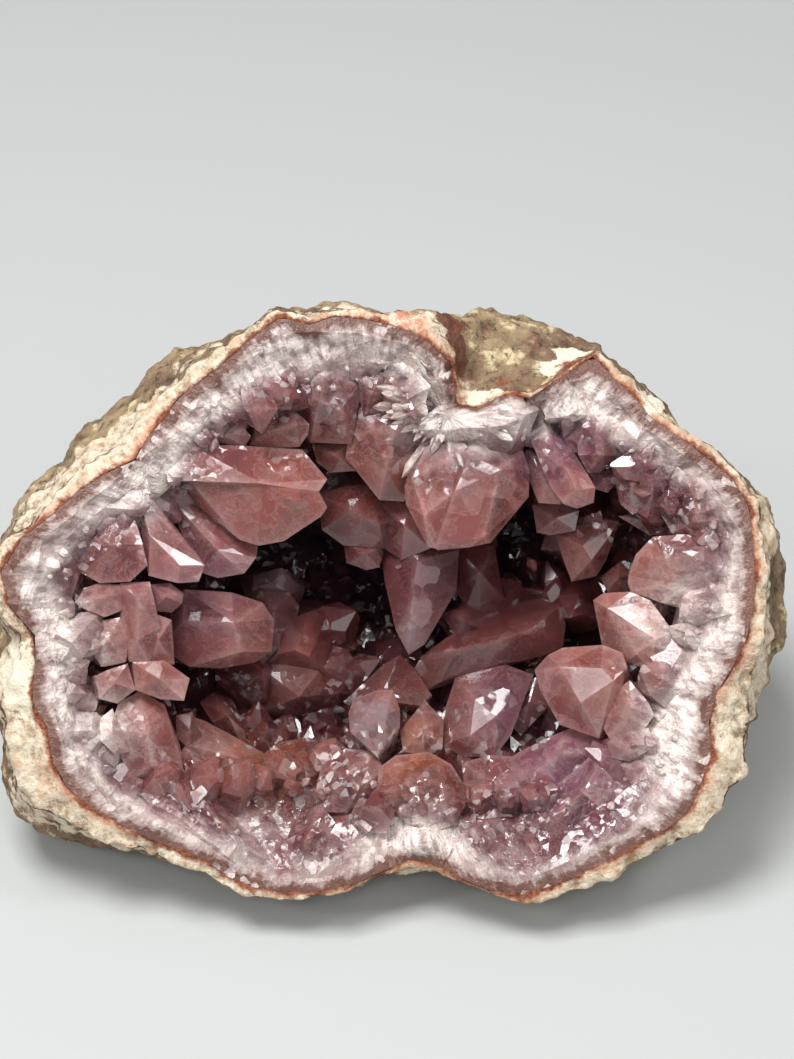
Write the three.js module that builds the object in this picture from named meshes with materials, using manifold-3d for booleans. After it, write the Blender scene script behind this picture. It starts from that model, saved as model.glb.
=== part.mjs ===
// Half of a hollow pink amethyst geode, lying on its rounded back with its broken mouth
// facing forwards and up. Two solids: the lumpy rock rind, and the one crust of quartz and
// amethyst crystals that lines its hollow. Millimetres, +Z up, +X to the viewer's right.
//
// Both are shaped in the mouth frame: u runs right across the mouth, v up across it, and w
// out of it towards the viewer. The group at the end leans that frame back and stands it up.
import * as THREE from "three";
import { ConvexGeometry } from "three/addons/geometries/ConvexGeometry.js";
import { mergeVertices } from "three/addons/utils/BufferGeometryUtils.js";
import { ImprovedNoise } from "three/addons/math/ImprovedNoise.js";
import Module from "manifold-3d";

// ---- Driving dimensions ----
const MOUTH_TILT = 40; // degrees that the mouth's normal points above the horizon
const MOUTH_HEIGHT = 22.3; // from the surface it stands on to the mouth frame's origin
const MOUTH_FORWARD = 3.5; // the mouth frame's origin stands this far in front of the part's
const CENTRE = new THREE.Vector2(-0.8, -5); // middle of the mouth, in u and v
const BODY_DEPTH = 27; // from the mouth to the back of the rind
const RIND_WALL = 2.5; // rock left behind the crystals
const WALL_FULL_AT = 0.2; // share of the depth at which the wall has its full thickness
const FACE_SLOPE = 0.3; // the broken face falls back by this share of its width
const GIRTH_AT = 0.28; // share of the depth at which the body is widest
const BODY_ROUNDNESS = 2.3; // 2 makes the back an ellipsoid, more makes it boxier
const BACK_DRIFT = new THREE.Vector2(1, 1.5); // how far the back's pole leans off the middle
const GAP = 0.35; // between the rind and the crust
const CRUST_WALL = 2.2; // massive quartz that the crystals grow from
const CRUST_LIP = 0.5; // its thickness at the mouth, from where it slopes inwards
const LIP_DEPTH = 0.11; // share of the depth over which it does
const THINNEST_REACH = 0.2; // least distance of the hollow's wall from the body's axis
const THICKEST_CRUST = 0.8; // most of the way to the axis that the massive quartz fills
const GROUND_CLEARANCE = 0.9; // the underside levels off this far above what it rests on
const GROUND_SOFTNESS = 0.9; // height over which it levels off
const MIDDLE_DEPTH = 9; // the body's lumps rise away from a point this far behind the mouth
const AROUND = 72; // vertices round the mouth
const PIT_AROUND = 30; // and round the pit in the crust, which the crystals mostly hide

// The rusty line on the broken face where the rock ends and the quartz begins, in u and v.
const QUARTZ_OUTLINE = [
  [23.8, -4.3], [23.7, -1], [23.5, 1.3], [23, 2.7], [21.1, 4.6], [18.2, 6.6], [16.8, 7.6],
  [16.1, 8.7], [14.2, 10.5], [13.5, 11.5], [12.3, 12], [11.1, 11.3], [8.9, 8.8], [7.1, 9.1],
  [5.9, 8.9], [5.4, 8.2], [4.5, 7.8], [3.9, 8.6], [4, 9.6], [3.8, 11], [2.7, 12], [1.5, 13],
  [-0.9, 13.8], [-4.3, 14.2], [-5.9, 13.6], [-7.3, 14.1], [-8.5, 14.1], [-9.3, 13],
  [-11.9, 10.8], [-14.5, 8.8], [-15.6, 7.4], [-16.9, 5.8], [-17.6, 4.2], [-19.7, 3.6],
  [-23.4, 0.5], [-25.2, -0.9], [-26.3, -2.7], [-26.1, -4.6], [-24.4, -6.4], [-23.7, -7.8],
  [-24.1, -9.4], [-24.7, -10.9], [-23.4, -12.1], [-23.1, -13.9], [-22.8, -16.2], [-20.9, -18.2],
  [-17.9, -19.9], [-14.5, -21.4], [-13, -21.9], [-10.8, -23.6], [-7.7, -24.3], [-4.3, -24],
  [-0.9, -22.8], [1.1, -21.9], [2.4, -22.3], [5.9, -24], [7.7, -24.5], [11.2, -23.4],
  [14.7, -21.6], [19.1, -19.1], [20.5, -16.3], [20.9, -15], [20.5, -13.5], [21.2, -10.8],
  [22.6, -8.6], [23.3, -7],
];
// Each list below pairs an angle round the mouth, in degrees from u, with a size there.
const BROKEN_FACE = [
  [0, 0.9], [20, 0.7], [40, 0.5], [60, 0.5], [68, 0.8], [75, 0.6], [92, 0.9], [105, 0.5],
  [130, 1], [146, 1.2], [152, 1.8], [160, 0.9], [180, 1.2], [190, 1.4], [200, 2.8], [207, 2.8],
  [215, 2], [225, 1.2], [240, 0.7], [255, 0.5], [285, 0.5], [300, 0.8], [310, 1.2], [320, 1.5],
  [330, 2], [338, 3.2], [345, 2.6], [352, 1.2],
]; // width of the rock's broken face
const GIRTH = [
  [2, 27], [9, 27.1], [15, 26.8], [19, 25.9], [22, 24.5], [26, 23.3], [35, 22.5], [45, 21.7],
  [51, 22.8], [56, 23.1], [64, 22], [70, 21.3], [77, 19.5], [87, 19.4], [101, 19.1],
  [111, 20.3], [119, 19.9], [124, 20.2], [129, 21.7], [142, 22.4], [149, 23.4], [153, 24],
  [158, 23.5], [163, 25.6], [168, 26.7], [180, 26.9], [195, 27.7], [206, 29.2], [213, 28],
  [219, 26.8], [227, 23.6], [240, 20.5], [255, 19], [270, 17.3], [290, 19.3], [308, 21.8],
  [324, 23.9], [340, 25.2], [350, 25.3], [355, 27.2],
]; // widest reach of the body behind the mouth
const QUARTZ_BAND = [
  [0, 2.5], [30, 2], [45, 3], [52, 4.4], [62, 2.2], [70, 2.6], [90, 2.8], [110, 3], [125, 3.6],
  [150, 4], [180, 3.8], [200, 3], [215, 3.2], [235, 2.6], [250, 1.6], [265, 2.6], [280, 2.8],
  [300, 3], [318, 4.8], [335, 5.2], [350, 3.6],
]; // width of the pale massive quartz that shows inside the rusty line
const MOUTH_RELIEF = [
  [0, 0.6], [30, -0.6], [55, -1.6], [68, -2.2], [80, -0.8], [110, 0.4], [140, -0.5], [170, 0.9],
  [205, 0.4], [240, -0.4], [262, 0.5], [277, -0.9], [295, 0.3], [330, 0.8],
]; // how far the break stands out of or dips behind the mouth's plane

// Depths, as shares of the body's depth, of the rings that the rind and crust are made from.
const OUTSIDE_RINGS = [0.04, 0.11, 0.19, 0.28, 0.38, 0.5, 0.63, 0.76, 0.88, 0.97];
const HOLLOW_RINGS = [0.85, 0.55, 0.25, 0.05];
const PIT_RINGS = [0.85, 0.6, 0.35, 0.11, 0.04, 0];

// Rounded lumps that cover the outside, and the ones that it rests on, by their place there.
const LUMPS = {
  count: 95,
  radius: [2.8, 6],
  height: [0.5, 1.5],
  reach: [0.06, 0.98], // shares of the depth between which they lie
  fullAt: 0.1, // share of the depth at which they have their full height
  seed: 7,
};
const FEET = [
  [0, 0], [-12.5, -6.5], [11.5, -7], [-9, 7.5], [9.5, 7], [0.5, 13],
]; // x and y of each
const FOOT = { radius: 6, height: 2 };
const GRAIN = { size: 2.1, height: 0.45 }; // roughness between the lumps

// The large crystals, each the convex block between its corners, in u, v and w. The first
// corner is the one it grows from, which is followed back into the wall.
const BLOCKS = {
  shelfTop: [
    [-17.3, 5.1, -6], [-16.1, 5.2, -1.8], [-14.3, 5.9, -1.8], [-6.4, 5.4, -2.8], [-4.7, 3.4, -2.4],
    [-5.3, 2.5, -2.3], [-9.1, 3.1, -1.6], [-15.3, 3.3, -1.6], [-6.7, 4.1, -6],
  ],
  shelfFront: [
    [-16.1, 3.1, -8], [-14, 3.3, -2.4], [-9.1, 3, -1.9], [-5.3, 2.6, -2], [-4.7, 1.5, -2.3],
    [-5.1, 0.9, -2.5], [-7.7, -0.8, -3.4], [-9.4, -1.1, -3.6], [-10.7, -0.7, -3.6],
    [-13, 1.3, -3.6], [-7.4, 1.7, -6],
  ],
  shelfUnder: [
    [-15.5, 2.1, -9], [-16, 2.7, -4.6], [-14.8, 2.6, -4.4], [-10.8, -0.7, -4.8], [-9.5, -1.1, -5],
    [-9.6, -1.9, -4.6], [-10.4, -3, -4.2], [-12.2, -3.3, -4.2], [-13.5, -2.9, -4.4],
    [-12.2, -1.4, -3.5], [-10.9, -2.1, -8],
  ],
  fanRight: [
    [-17.7, 3.5, -5], [-17.7, 2.9, -1.8], [-16.9, 2.5, -2.4], [-16, 1.4, -2.2], [-13.4, -1.7, -1.6],
    [-12.9, -2.4, -1.3], [-13.3, -3.5, -1.3], [-14.7, -3.6, -1.3], [-16.7, -3.1, -1.5],
    [-16.5, -0.4, -0.5], [-14.5, -2.4, -0.6], [-14.2, -2.4, -5],
  ],
  fanLeft: [
    [-20, 2, -5], [-18.8, 2.4, -1.8], [-17.8, 1.4, -1.2], [-17, -1, -0.7], [-16.7, -2.4, -0.9],
    [-17.9, -3.5, -1.2], [-20, -3.6, -1.5], [-21.3, -2.9, -1.8], [-20.6, -0.7, -1.6],
    [-18.9, -1, -0.7], [-19.6, -2.4, -5],
  ],
  fanRoot: [
    [-18.3, 4.4, -5], [-18.5, 2.7, -1.3], [-17.7, 3.7, -0.9], [-16.8, 3.8, -0.8],
    [-16.6, 2.5, -1.2], [-17.4, 2, -1.4],
  ],
  cheek: [
    [-21, -4.8, -5], [-21.7, -4.9, -1.6], [-21.1, -3.9, -1.8], [-20, -3.6, -1.8],
    [-18.6, -3.7, -1.7], [-18.4, -5.4, -1.5], [-19.6, -5.9, -1], [-20.6, -5.5, -1.2],
    [-19.5, -4.6, -0.8],
  ],
  column: [
    [-19.8, -6.2, -7], [-18.6, -3.6, -1.6], [-16.6, -3.5, -1.5], [-16.3, -4.7, -1.3],
    [-15.9, -6.6, -1.4], [-16.6, -8.9, -1.6], [-18, -8.9, -1.7], [-18.6, -7.4, -1.7],
    [-17.3, -4.7, -0.7], [-17.4, -7.4, -0.8],
  ],
  knob: [
    [-17.7, -4.7, -7], [-16.7, -3.7, -2.2], [-15.3, -3.6, -2.3], [-14.4, -4.3, -2.4],
    [-14.5, -5, -2.4], [-15.2, -5.6, -2.3], [-16.4, -5.5, -2.2], [-15.5, -4.5, -1.1],
  ],
  knobUnder: [
    [-18.1, -7.6, -7], [-16.5, -5.6, -2.2], [-15.2, -6.1, -2.4], [-15.2, -7, -2.3],
    [-15.6, -8.5, -2.3], [-15, -9.1, -2.3], [-16.8, -9.2, -2], [-16, -7.4, -1.1],
  ],
  star: [
    [-19.1, -10.4, -7], [-17.8, -8.9, -1.7], [-15.6, -8.8, -1.5], [-13.9, -10, -1.2],
    [-14.4, -10.6, -1.3], [-14.3, -11.5, -1.3], [-15.9, -11.4, -1.6], [-17.6, -10.8, -1.9],
    [-15.9, -10, -0.7],
  ],
  frostLump: [
    [-22.9, -7.9, -4], [-23.2, -7.4, -0.7], [-22.7, -6.5, -0.7], [-21.6, -6, -0.9],
    [-20.7, -6.7, -1], [-20.6, -8.4, -1], [-21.5, -9.3, -0.8], [-22.7, -8.8, -0.6],
    [-21.8, -7.4, 0.3],
  ],
  glintLeft: [
    [-21, -7.9, -5], [-20.6, -6.2, -1.5], [-18.6, -5.9, -1.5], [-18, -7.4, -1.4],
    [-18.2, -8.9, -1.5], [-19.9, -9.3, -1.3], [-20.6, -8.1, -1.2], [-19.3, -7.5, -0.5],
  ],
  glintLow: [
    [-20.6, -11, -5], [-20.4, -9.7, -1], [-18.1, -9, -1.6], [-17.6, -10.8, -1.9],
    [-18.8, -11.7, -1.7], [-20, -11.4, -1], [-18.9, -10.3, -0.5],
  ],
  hollowBlock: [
    [-18.6, -7, -9], [-15.7, -7.6, -5.2], [-14.6, -4.1, -5.2], [-11.3, -4.3, -5.2],
    [-9.2, -5, -5.2], [-8.4, -6.2, -5.5], [-8.6, -8.4, -5.5], [-9.7, -9.1, -5.2], [-12, -9.5, -5],
    [-14.2, -9.4, -5.2], [-15.4, -8.6, -5.4], [-11.1, -6.3, -3.6], [-14.6, -6.2, -4.2],
    [-10.5, -8.3, -3.8], [-9.9, -7, -9],
  ],
  hollowEgg: [
    [-9.9, -16.6, -16], [-11.1, -9.4, -8.4], [-10.2, -8.4, -8.3], [-7.4, -7.5, -8.3],
    [-5.9, -7.4, -8.5], [-3.4, -8.4, -8.2], [-2.2, -9.9, -8.2], [-2.6, -11.3, -8],
    [-4.3, -12.2, -8], [-6.7, -12.8, -7.8], [-9.4, -12.7, -8], [-10.7, -11.7, -8.2],
    [-9.7, -9.3, -6.8], [-5.2, -9.5, -6.2], [-6.7, -11.5, -6.2], [-4.8, -10.7, -13],
  ],
  hollowFar: [
    [-11.4, -2.2, -17], [-10.4, -5.1, -8.6], [-9.4, -4.3, -8.6], [-7.5, -4.4, -8.8],
    [-6.8, -5.3, -8.8], [-7, -6.7, -8.2], [-8.1, -7.8, -7.8], [-9.3, -7.8, -7.6],
    [-8.5, -5.6, -7.2],
  ],
  hollowFarRight: [
    [-4.9, -12.5, -20], [-7.1, -7.2, -9.6], [-6.1, -6.3, -9.8], [-4.3, -6.3, -10],
    [-3.2, -6.8, -9.8], [-2.9, -8.3, -9.2], [-4, -8.9, -9], [-6.4, -8.5, -9], [-5.2, -7.4, -8.5],
  ],
  hollowLow: [
    [-12.9, -15, -13], [-13.7, -12, -8], [-12.8, -11.3, -8.2], [-11.5, -11.7, -8.2],
    [-9.6, -14.9, -7], [-10.5, -15.3, -6.6], [-12.7, -13.3, -6.6], [-11.6, -12.8, -6],
  ],
  topRust: [
    [-5.7, 12.8, -8], [-6.7, 11.3, -2.9], [-5.2, 11.6, -2.4], [-3.5, 11.4, -2.6], [-2.5, 9.8, -2.8],
    [-2.6, 8.4, -3], [-3, 7.3, -3.2], [-3.1, 5.8, -3.6], [-5.9, 5.9, -3.8], [-6.6, 7.1, -3.7],
    [-7.7, 8.8, -3.4], [-7.6, 9.7, -3.2], [-4.8, 10.2, -1.3], [-5.3, 8.6, -1.3], [-3.8, 8, -1.8],
  ],
  topSalmon: [
    [-10.1, 7.2, -6], [-9.5, 7.5, -2.7], [-9, 7.9, -2.5], [-7.2, 8.3, -2.3], [-5.9, 7.1, -2.2],
    [-6, 6.4, -2.3], [-6.6, 5.6, -2.6], [-8.2, 5.5, -2.8], [-10, 5.7, -3.1], [-8.4, 6.7, -1.5],
    [-6.7, 7, -1.3],
  ],
  topLeft: [
    [-10.1, 10.9, -5], [-10.8, 9.2, -1.4], [-9.8, 10.3, -0.9], [-7, 11.3, -1.2], [-7.4, 9.5, -1.3],
    [-7.6, 8, -1.9], [-9.5, 7.5, -2.3], [-10.5, 7.9, -2], [-8.6, 9.3, -0.5],
  ],
  topBlade: [
    [-11.4, 9.2, -5], [-12.9, 7.6, -1.4], [-12.4, 8.1, -0.9], [-10.2, 8.7, -0.8],
    [-11.7, 6.9, -1.2], [-10.6, 7.4, -3],
  ],
  topDark: [
    [-13.2, 6.1, -6], [-13.9, 6, -1.8], [-13.1, 6.9, -1.9], [-10.6, 7.2, -2.2], [-9.8, 6.3, -2.6],
    [-10.3, 5.6, -2.6], [-11.8, 6.4, -1.5],
  ],
  topMid: [
    [-4.7, 7, -10], [-5.8, 5.8, -5], [-3.2, 5.9, -4.7], [-3.5, 5, -4.8], [-2.8, 4, -5.2],
    [-4.6, 3.9, -5.4], [-5.5, 4.6, -5.3], [-4.4, 5.1, -4.3],
  ],
  topGrey: [
    [-0.1, 9, -9], [-2.8, 8.4, -3.4], [-3.2, 6.8, -3.7], [-3.5, 4.9, -4.2], [-1.8, 3.2, -4.2],
    [-1.2, 2, -4.4], [0.5, 1.9, -4.8], [1.2, 3.5, -4.6], [1.8, 6.1, -3.6], [0.7, 8.5, -3],
    [-1.8, 6.7, -2.8], [-0.7, 4, -3.1], [-0.1, 6.7, -2.4],
  ],
  topGlass: [
    [-1.7, 12.2, -4], [-3, 11.5, -1.8], [-1.5, 11.7, -1.5], [-0.3, 11.3, -1.5], [-0.7, 10.6, -1.7],
    [-2.5, 10.9, -1.9], [-1.5, 11.2, -1.1],
  ],
  topSide: [
    [-1.7, 10.3, -6], [-2.6, 10.2, -2.4], [-1.1, 10.6, -2.2], [-0.6, 9.3, -2.4], [-1.2, 7.8, -3],
    [-2.3, 7.6, -3.1], [-1.7, 9, -1.6],
  ],
  topNear: [
    [0.5, 9.9, -6], [-0.8, 10.3, -1.9], [0.9, 10.7, -1.5], [2.2, 9.6, -1.5], [2.1, 7.4, -2.4],
    [0.5, 6.6, -3], [-0.7, 7.7, -2.9], [-1.2, 9.1, -2.5], [0.7, 8.7, -1],
  ],
  behindGrey: [
    [-2.3, 6.4, -14], [-5.5, 2.4, -7], [-3.6, 3, -6.8], [-1.9, 3.1, -6.6], [-1.2, 2, -6.6],
    [0.8, 1.2, -7], [0.1, -0.4, -7], [-0.9, -1.3, -6.8], [-3.7, -1.1, -6.8], [-5.2, 0, -6.8],
    [-3.2, 1.3, -5.7], [-1.2, 0.3, -5.7],
  ],
  behindTip: [
    [-1.9, 2.1, -13], [-3.7, -0.9, -7.2], [-0.8, -1.1, -7.2], [-1.2, -2.6, -6.8],
    [-2.1, -2.8, -6.8], [-3.5, -2.3, -7], [-2.1, -1.7, -6.1],
  ],
  wedgeRight: [
    [6.5, 7.3, -8], [3.6, 6.3, -3.6], [7, 6.2, -3.6], [8.6, 5.3, -3.2], [9, 4, -3],
    [8.9, 2.2, -2.8], [6.3, -0.9, -2.4], [4.9, -1.2, -2.1], [2.7, -1.4, -1.8], [2.6, -1.1, -1.6],
    [3.9, 2.6, -0.7], [4.8, 5, -0.8], [7, 4, -0.7], [5.9, -0.5, -1.6],
  ],
  wedgeLeft: [
    [2.3, 7.2, -7], [0.5, 2.9, -2.9], [0.6, 1.7, -2.8], [2.1, -1.2, -2.3], [2.7, -1.3, -2],
    [1.9, 5.6, -3.2], [3, 5.7, -2.6], [4, 2.6, -1], [1.8, 0.9, -1.5], [1, 3.4, -2.2],
    [4.6, 5.5, -1.4],
  ],
  burst: [
    [5.7, 8.5, -5], [1.2, 6.7, -2.4], [2.9, 7.9, -1.4], [4.4, 7.6, -0.9], [6.9, 8.3, -0.7],
    [9.2, 7.8, -1], [9, 6.3, -2.2], [7, 5.8, -3], [3.6, 5.6, -3], [4.9, 6.8, -0.4], [7.2, 7, -0.5],
  ],
  wedgeSide: [
    [10.3, 6.2, -8], [8.9, 5.4, -4.2], [10.1, 4.7, -3.8], [11.1, 2.7, -3.6], [11.1, 1.7, -3.6],
    [9.6, 1.8, -3.8], [9, 3.4, -4], [10.1, 3.2, -3.2],
  ],
  finger: [
    [10.3, 7.1, -5], [9, 6.1, -2.8], [10.2, 6.2, -1.9], [11.1, 5.2, -1.7], [12.8, 3.7, -1.2],
    [13.3, 2.8, -1.1], [13.2, 1.8, -1.3], [12.1, 1.4, -1.5], [11.2, 1.7, -1.6], [10.4, 2.7, -1.8],
    [9.8, 4.1, -2.2], [11.2, 4.2, -0.5], [12, 2.6, -0.4],
  ],
  purple: [
    [13.9, 8.2, -6], [12, 6.7, -2.4], [13, 7.3, -1.8], [14.3, 7.6, -1.8], [14.9, 6.7, -2],
    [14.8, 5, -2.3], [13.7, 3.9, -2.6], [12.9, 3.8, -2.7], [12.2, 5, -2.6], [13.6, 6.5, -1],
    [13.9, 5, -1.1],
  ],
  purpleUnder: [
    [14.5, 4.8, -9], [13.3, 3.8, -3.8], [14.9, 4, -3.5], [15.1, 3.3, -3.5], [14.3, 2.5, -3.7],
    [13.4, 2.8, -3.9], [14.1, 3.4, -3],
  ],
  glintRight: [
    [16.6, 7.5, -5], [14.5, 6, -1.7], [14.8, 7.3, -1.3], [16.8, 7.5, -1], [17.4, 6, -1.1],
    [17.4, 4.8, -1.3], [16.8, 4, -1.6], [15.5, 4.6, -1.8], [16, 6, -0.3],
  ],
  darkTip: [
    [16, 5.5, -8], [14.9, 4.8, -2.7], [16.4, 4.6, -2.2], [16.7, 3.3, -2.1], [16.5, 1.3, -2.3],
    [15.9, 1, -2.4], [15.1, 1.7, -2.8], [14.8, 3, -2.9], [15.8, 2.9, -1.4],
  ],
  glassTip: [
    [17.8, 4.5, -7], [16.6, 4, -2], [17.7, 4.5, -1.5], [18, 3, -1.6], [17.8, 1.3, -2],
    [16.7, 1.1, -2.2], [16.4, 2.7, -2.2], [17.1, 2.8, -0.8],
  ],
  darkBlock: [
    [21.8, 3.4, -6], [17.9, 2.5, -1.9], [18.8, 4.2, -1.1], [20.3, 3.5, -0.6], [21.6, 3, -0.5],
    [22, 2, -0.6], [21.8, 0.5, -0.9], [21, -0.5, -1.4], [18.5, -0.3, -1.8], [17.8, 1, -2],
    [19.7, 2.4, 0], [20, 0.6, -0.3],
  ],
  underDark: [
    [18.3, 1.7, -9], [15.1, 0.9, -4.6], [18, 1.1, -4], [18.6, -0.2, -3.9], [17.2, -0.4, -4],
    [16.4, 0.4, -4.4], [17.2, 0.6, -3.4],
  ],
  hangLeft: [
    [11.2, 3.5, -12], [9.3, 1.7, -6], [11.2, 1.8, -5.8], [12.5, 1.3, -5.6], [12.2, -0.1, -5.6],
    [10.5, -0.4, -5.8], [9.6, -0.2, -6], [10.9, 0.8, -5.2],
  ],
  hangMid: [
    [14.4, 2.8, -13], [10.8, -0.2, -6.6], [12.2, 0.2, -6], [14.4, 0.7, -6], [15.3, 0.5, -6.2],
    [14.4, -2.1, -6.2], [13.7, -3.2, -6], [12, -3.6, -5.8], [11.4, -2.1, -6.3], [12.7, -1.1, -5.1],
    [13.3, -2.1, -5.2],
  ],
  hangRight: [
    [17.2, -2.2, -12], [14, -3.3, -6.8], [15.4, -2.2, -6.8], [16.3, -3.1, -6.6], [15.9, -4.3, -6.4],
    [14.5, -4.3, -6.4], [15.2, -3.3, -5.8],
  ],
  salmonBig: [
    [23.5, -2.8, -8], [15.6, -3.6, -3], [15.7, -2.9, -2.9], [16.1, -1.7, -2.4], [17.2, -0.5, -1.8],
    [19.3, -0.3, -1.2], [21.5, -0.7, -0.8], [21.9, -2.7, -0.8], [21.4, -4.9, -1.2],
    [19.7, -5.5, -1.7], [17.7, -4.9, -2.2], [15.8, -4.2, -3], [18.1, -2.1, -0.8],
    [19.7, -1.8, -0.2], [18.2, -3.9, -1.2],
  ],
  striated: [
    [19.6, -7.7, -8], [13.3, -4.8, -3.5], [14, -4.3, -3.2], [15.8, -4.2, -2.8], [17.1, -4.8, -2.3],
    [18.6, -6.9, -1.7], [18.2, -8.5, -1.7], [17, -9.4, -2], [15.4, -9, -2.6], [13.9, -7.9, -3.2],
    [13.6, -6.3, -3.4], [14.2, -5.3, -2.3], [17.4, -7.4, -1.3], [16.1, -8.4, -1.7],
  ],
  salmonBlock: [
    [16.9, -12.5, -8], [9.3, -9.5, -3], [10.2, -8.5, -3], [11.2, -8, -3.1], [13.9, -7.8, -2.8],
    [15.2, -8.3, -2.2], [15.5, -9.3, -1.8], [15.1, -10.8, -1.6], [14.3, -11.9, -1.8],
    [13.6, -14.1, -2.2], [12.7, -13.1, -2.4], [11, -13.2, -2.8], [9.7, -10.9, -2.8],
    [10.9, -9.2, -1.4], [13.7, -9.3, -1], [14.5, -10.1, -0.8], [12.3, -11.6, -1.1],
  ],
  glassRight: [
    [18.1, -11.7, -6], [14.8, -10.8, -1.7], [15.6, -10.1, -1.3], [16.8, -11.6, -0.9],
    [17.3, -12.5, -0.8], [16.3, -13.6, -1], [14.3, -14.1, -1.6], [13.9, -13.4, -1.9],
    [14.4, -12.1, -1.8], [15.6, -11.9, -0.6],
  ],
  glassRightLow: [
    [17.6, -14.7, -5], [14.1, -14.3, -1.7], [15.3, -13.5, -1.3], [16.8, -13.3, -0.9],
    [17.1, -14.4, -0.7], [15.6, -15.5, -1], [14.4, -15.3, -1.4], [15.7, -14.4, -0.4],
  ],
  darkCorner: [
    [17.3, -16.8, -5], [14.4, -15.5, -1.8], [16, -15.3, -1.3], [16.8, -15.8, -0.9],
    [16.3, -16.9, -0.9], [15, -17.3, -1.2], [15.6, -16.1, -0.7],
  ],
  diagonal: [
    [11.8, -2.2, -17], [1.2, -9.6, -7.2], [1.7, -8.7, -7], [4, -7.1, -7.4], [7.2, -5.4, -8.2],
    [10, -4.8, -8.6], [11.5, -5.2, -8.4], [11.7, -6.6, -8], [11.5, -8.1, -7.6], [10.2, -8.7, -7.2],
    [6.3, -9.5, -6.6], [3, -10.5, -6.6], [1.9, -11.2, -7], [4.1, -8.3, -5.8], [9.3, -6.8, -6.5],
    [7.1, -7.7, -5.9],
  ],
  diagonalBack: [
    [14.9, -2.2, -20], [7.1, -5.3, -10], [9, -4.1, -10], [11.4, -3.8, -10.5], [14.3, -4, -10.5],
    [15.3, -4.8, -10], [14.2, -5.4, -9.6], [11.4, -5.5, -9.4], [11.4, -4.5, -9.2],
  ],
  frosted: [
    [5.9, -16.4, -13], [2.9, -14.8, -5.2], [3.4, -12, -5.6], [4, -10.2, -6.4], [5.7, -9.7, -6.6],
    [7.5, -9.3, -6.6], [9.4, -10, -6.4], [8.7, -11.7, -5.4], [7.8, -14, -4.8], [6.7, -15.5, -4.4],
    [4.6, -15.5, -4.6], [5.3, -11.6, -4.3], [6.7, -12.7, -4.1], [5, -14, -4.1],
  ],
  frostedSide: [
    [10.2, -15, -13], [7.9, -10.5, -6.8], [9.6, -10.2, -6.5], [10.5, -12.1, -6.3],
    [8.5, -14.2, -6.2], [7.5, -13.1, -6.2], [9.1, -11.9, -5.8],
  ],
  spire: [
    [2, 4.3, -16], [-1.6, 1, -9], [-0.5, -2.1, -7.6], [-0.8, -3.8, -7.2], [-0.1, -6.9, -6.4],
    [0.8, -8.6, -6], [1.9, -7.9, -6.2], [3, -5.3, -6.5], [4.1, -4.2, -6.9], [4.3, -1.4, -7.6],
    [3, 1.4, -9], [1.4, -2.1, -5.7], [1, -5, -5.3],
  ],
  spireSide: [
    [6, 2.8, -16], [4.1, -1.3, -8.2], [6.8, -1.1, -8.6], [7.2, -3.5, -8.3], [7.4, -4.8, -8.1],
    [5.8, -6, -7.8], [4.8, -5.4, -7.9], [4, -4.2, -8.2], [5.7, -2.9, -7],
  ],
  spireTop: [
    [0.2, 6.4, -13], [-1.3, 2, -6.4], [0.8, 1.8, -6], [2.3, -1.3, -5.6], [0.3, -2.1, -6.4],
    [-0.9, -1.3, -7], [0.5, 0.3, -5.2],
  ],
  lavender: [
    [14.6, -20.6, -6], [8.2, -19.4, -1.9], [10, -18, -2], [11.2, -16.8, -2.2], [13, -15.3, -2.2],
    [14.1, -14.7, -2], [14.5, -15.6, -1.6], [14.8, -17.3, -1.2], [13.7, -18.7, -0.9],
    [11.9, -19.8, -0.8], [10.1, -20.3, -0.9], [8.9, -20, -1.3], [12.4, -17.6, -0.5],
    [10.9, -18.9, -0.5],
  ],
  redSlope: [
    [11.4, -18.2, -9], [7.2, -15.8, -3.8], [8.4, -15.1, -3.9], [10.1, -14.2, -3.9],
    [11.8, -13.5, -3.8], [13.8, -14.3, -3.4], [14.3, -14.9, -3.2], [12.7, -16.1, -3],
    [11, -17.3, -2.8], [9, -18.4, -2.8], [7.2, -18, -3.2], [10.7, -15.2, -2.5], [9, -16.6, -2.3],
  ],
  pinkBottom: [
    [7.1, -20.7, -7], [4.4, -15.9, -3.8], [6.3, -15.3, -3.9], [8.7, -15.5, -3.7], [10.2, -17, -3.2],
    [9.7, -18.3, -2.8], [8, -19.7, -2.3], [5.6, -19.8, -2.1], [4.7, -18.4, -2.6], [6.3, -17, -2.4],
    [7.1, -18.2, -2.1],
  ],
  orange: [
    [1.6, -21.5, -8], [-1.3, -17.6, -2.6], [-1.2, -16.2, -3], [-0.1, -15.3, -3.3],
    [2.2, -15.1, -3.5], [3.7, -15.9, -3.3], [4.5, -17.3, -2.7], [4.8, -18.4, -2.2],
    [4, -19.9, -1.6], [1.9, -20.2, -1.4], [0.2, -19.4, -1.6], [-0.8, -18.6, -2], [0.9, -16.5, -1.6],
    [3, -17, -1.4], [3.3, -18.4, -1], [0.5, -18.2, -1.1],
  ],
  shardLeft: [
    [5.7, -23.3, -5], [4.4, -20.7, -1.4], [5, -19.7, -1.8], [6.9, -19.5, -1.7], [7.6, -21.3, -0.9],
    [6.6, -22.5, -0.5], [5.1, -22, -0.6], [6, -20.6, -0.5],
  ],
  shardRight: [
    [9.1, -23.3, -5], [7.4, -19.9, -1.5], [9.3, -20, -1.3], [10, -21.1, -0.8], [9.6, -22.2, -0.5],
    [8.1, -22.1, -0.6], [8.6, -20.9, -0.3],
  ],
  frostBottom: [
    [0.9, -22.6, -5], [-1.1, -21, -0.9], [0.2, -19.9, -1.2], [2.9, -20.1, -1.1], [3.9, -21.1, -0.6],
    [3.2, -22.1, -0.4], [0.2, -21.9, -0.4], [1.5, -20.8, 0],
  ],
  silver: [
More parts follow.
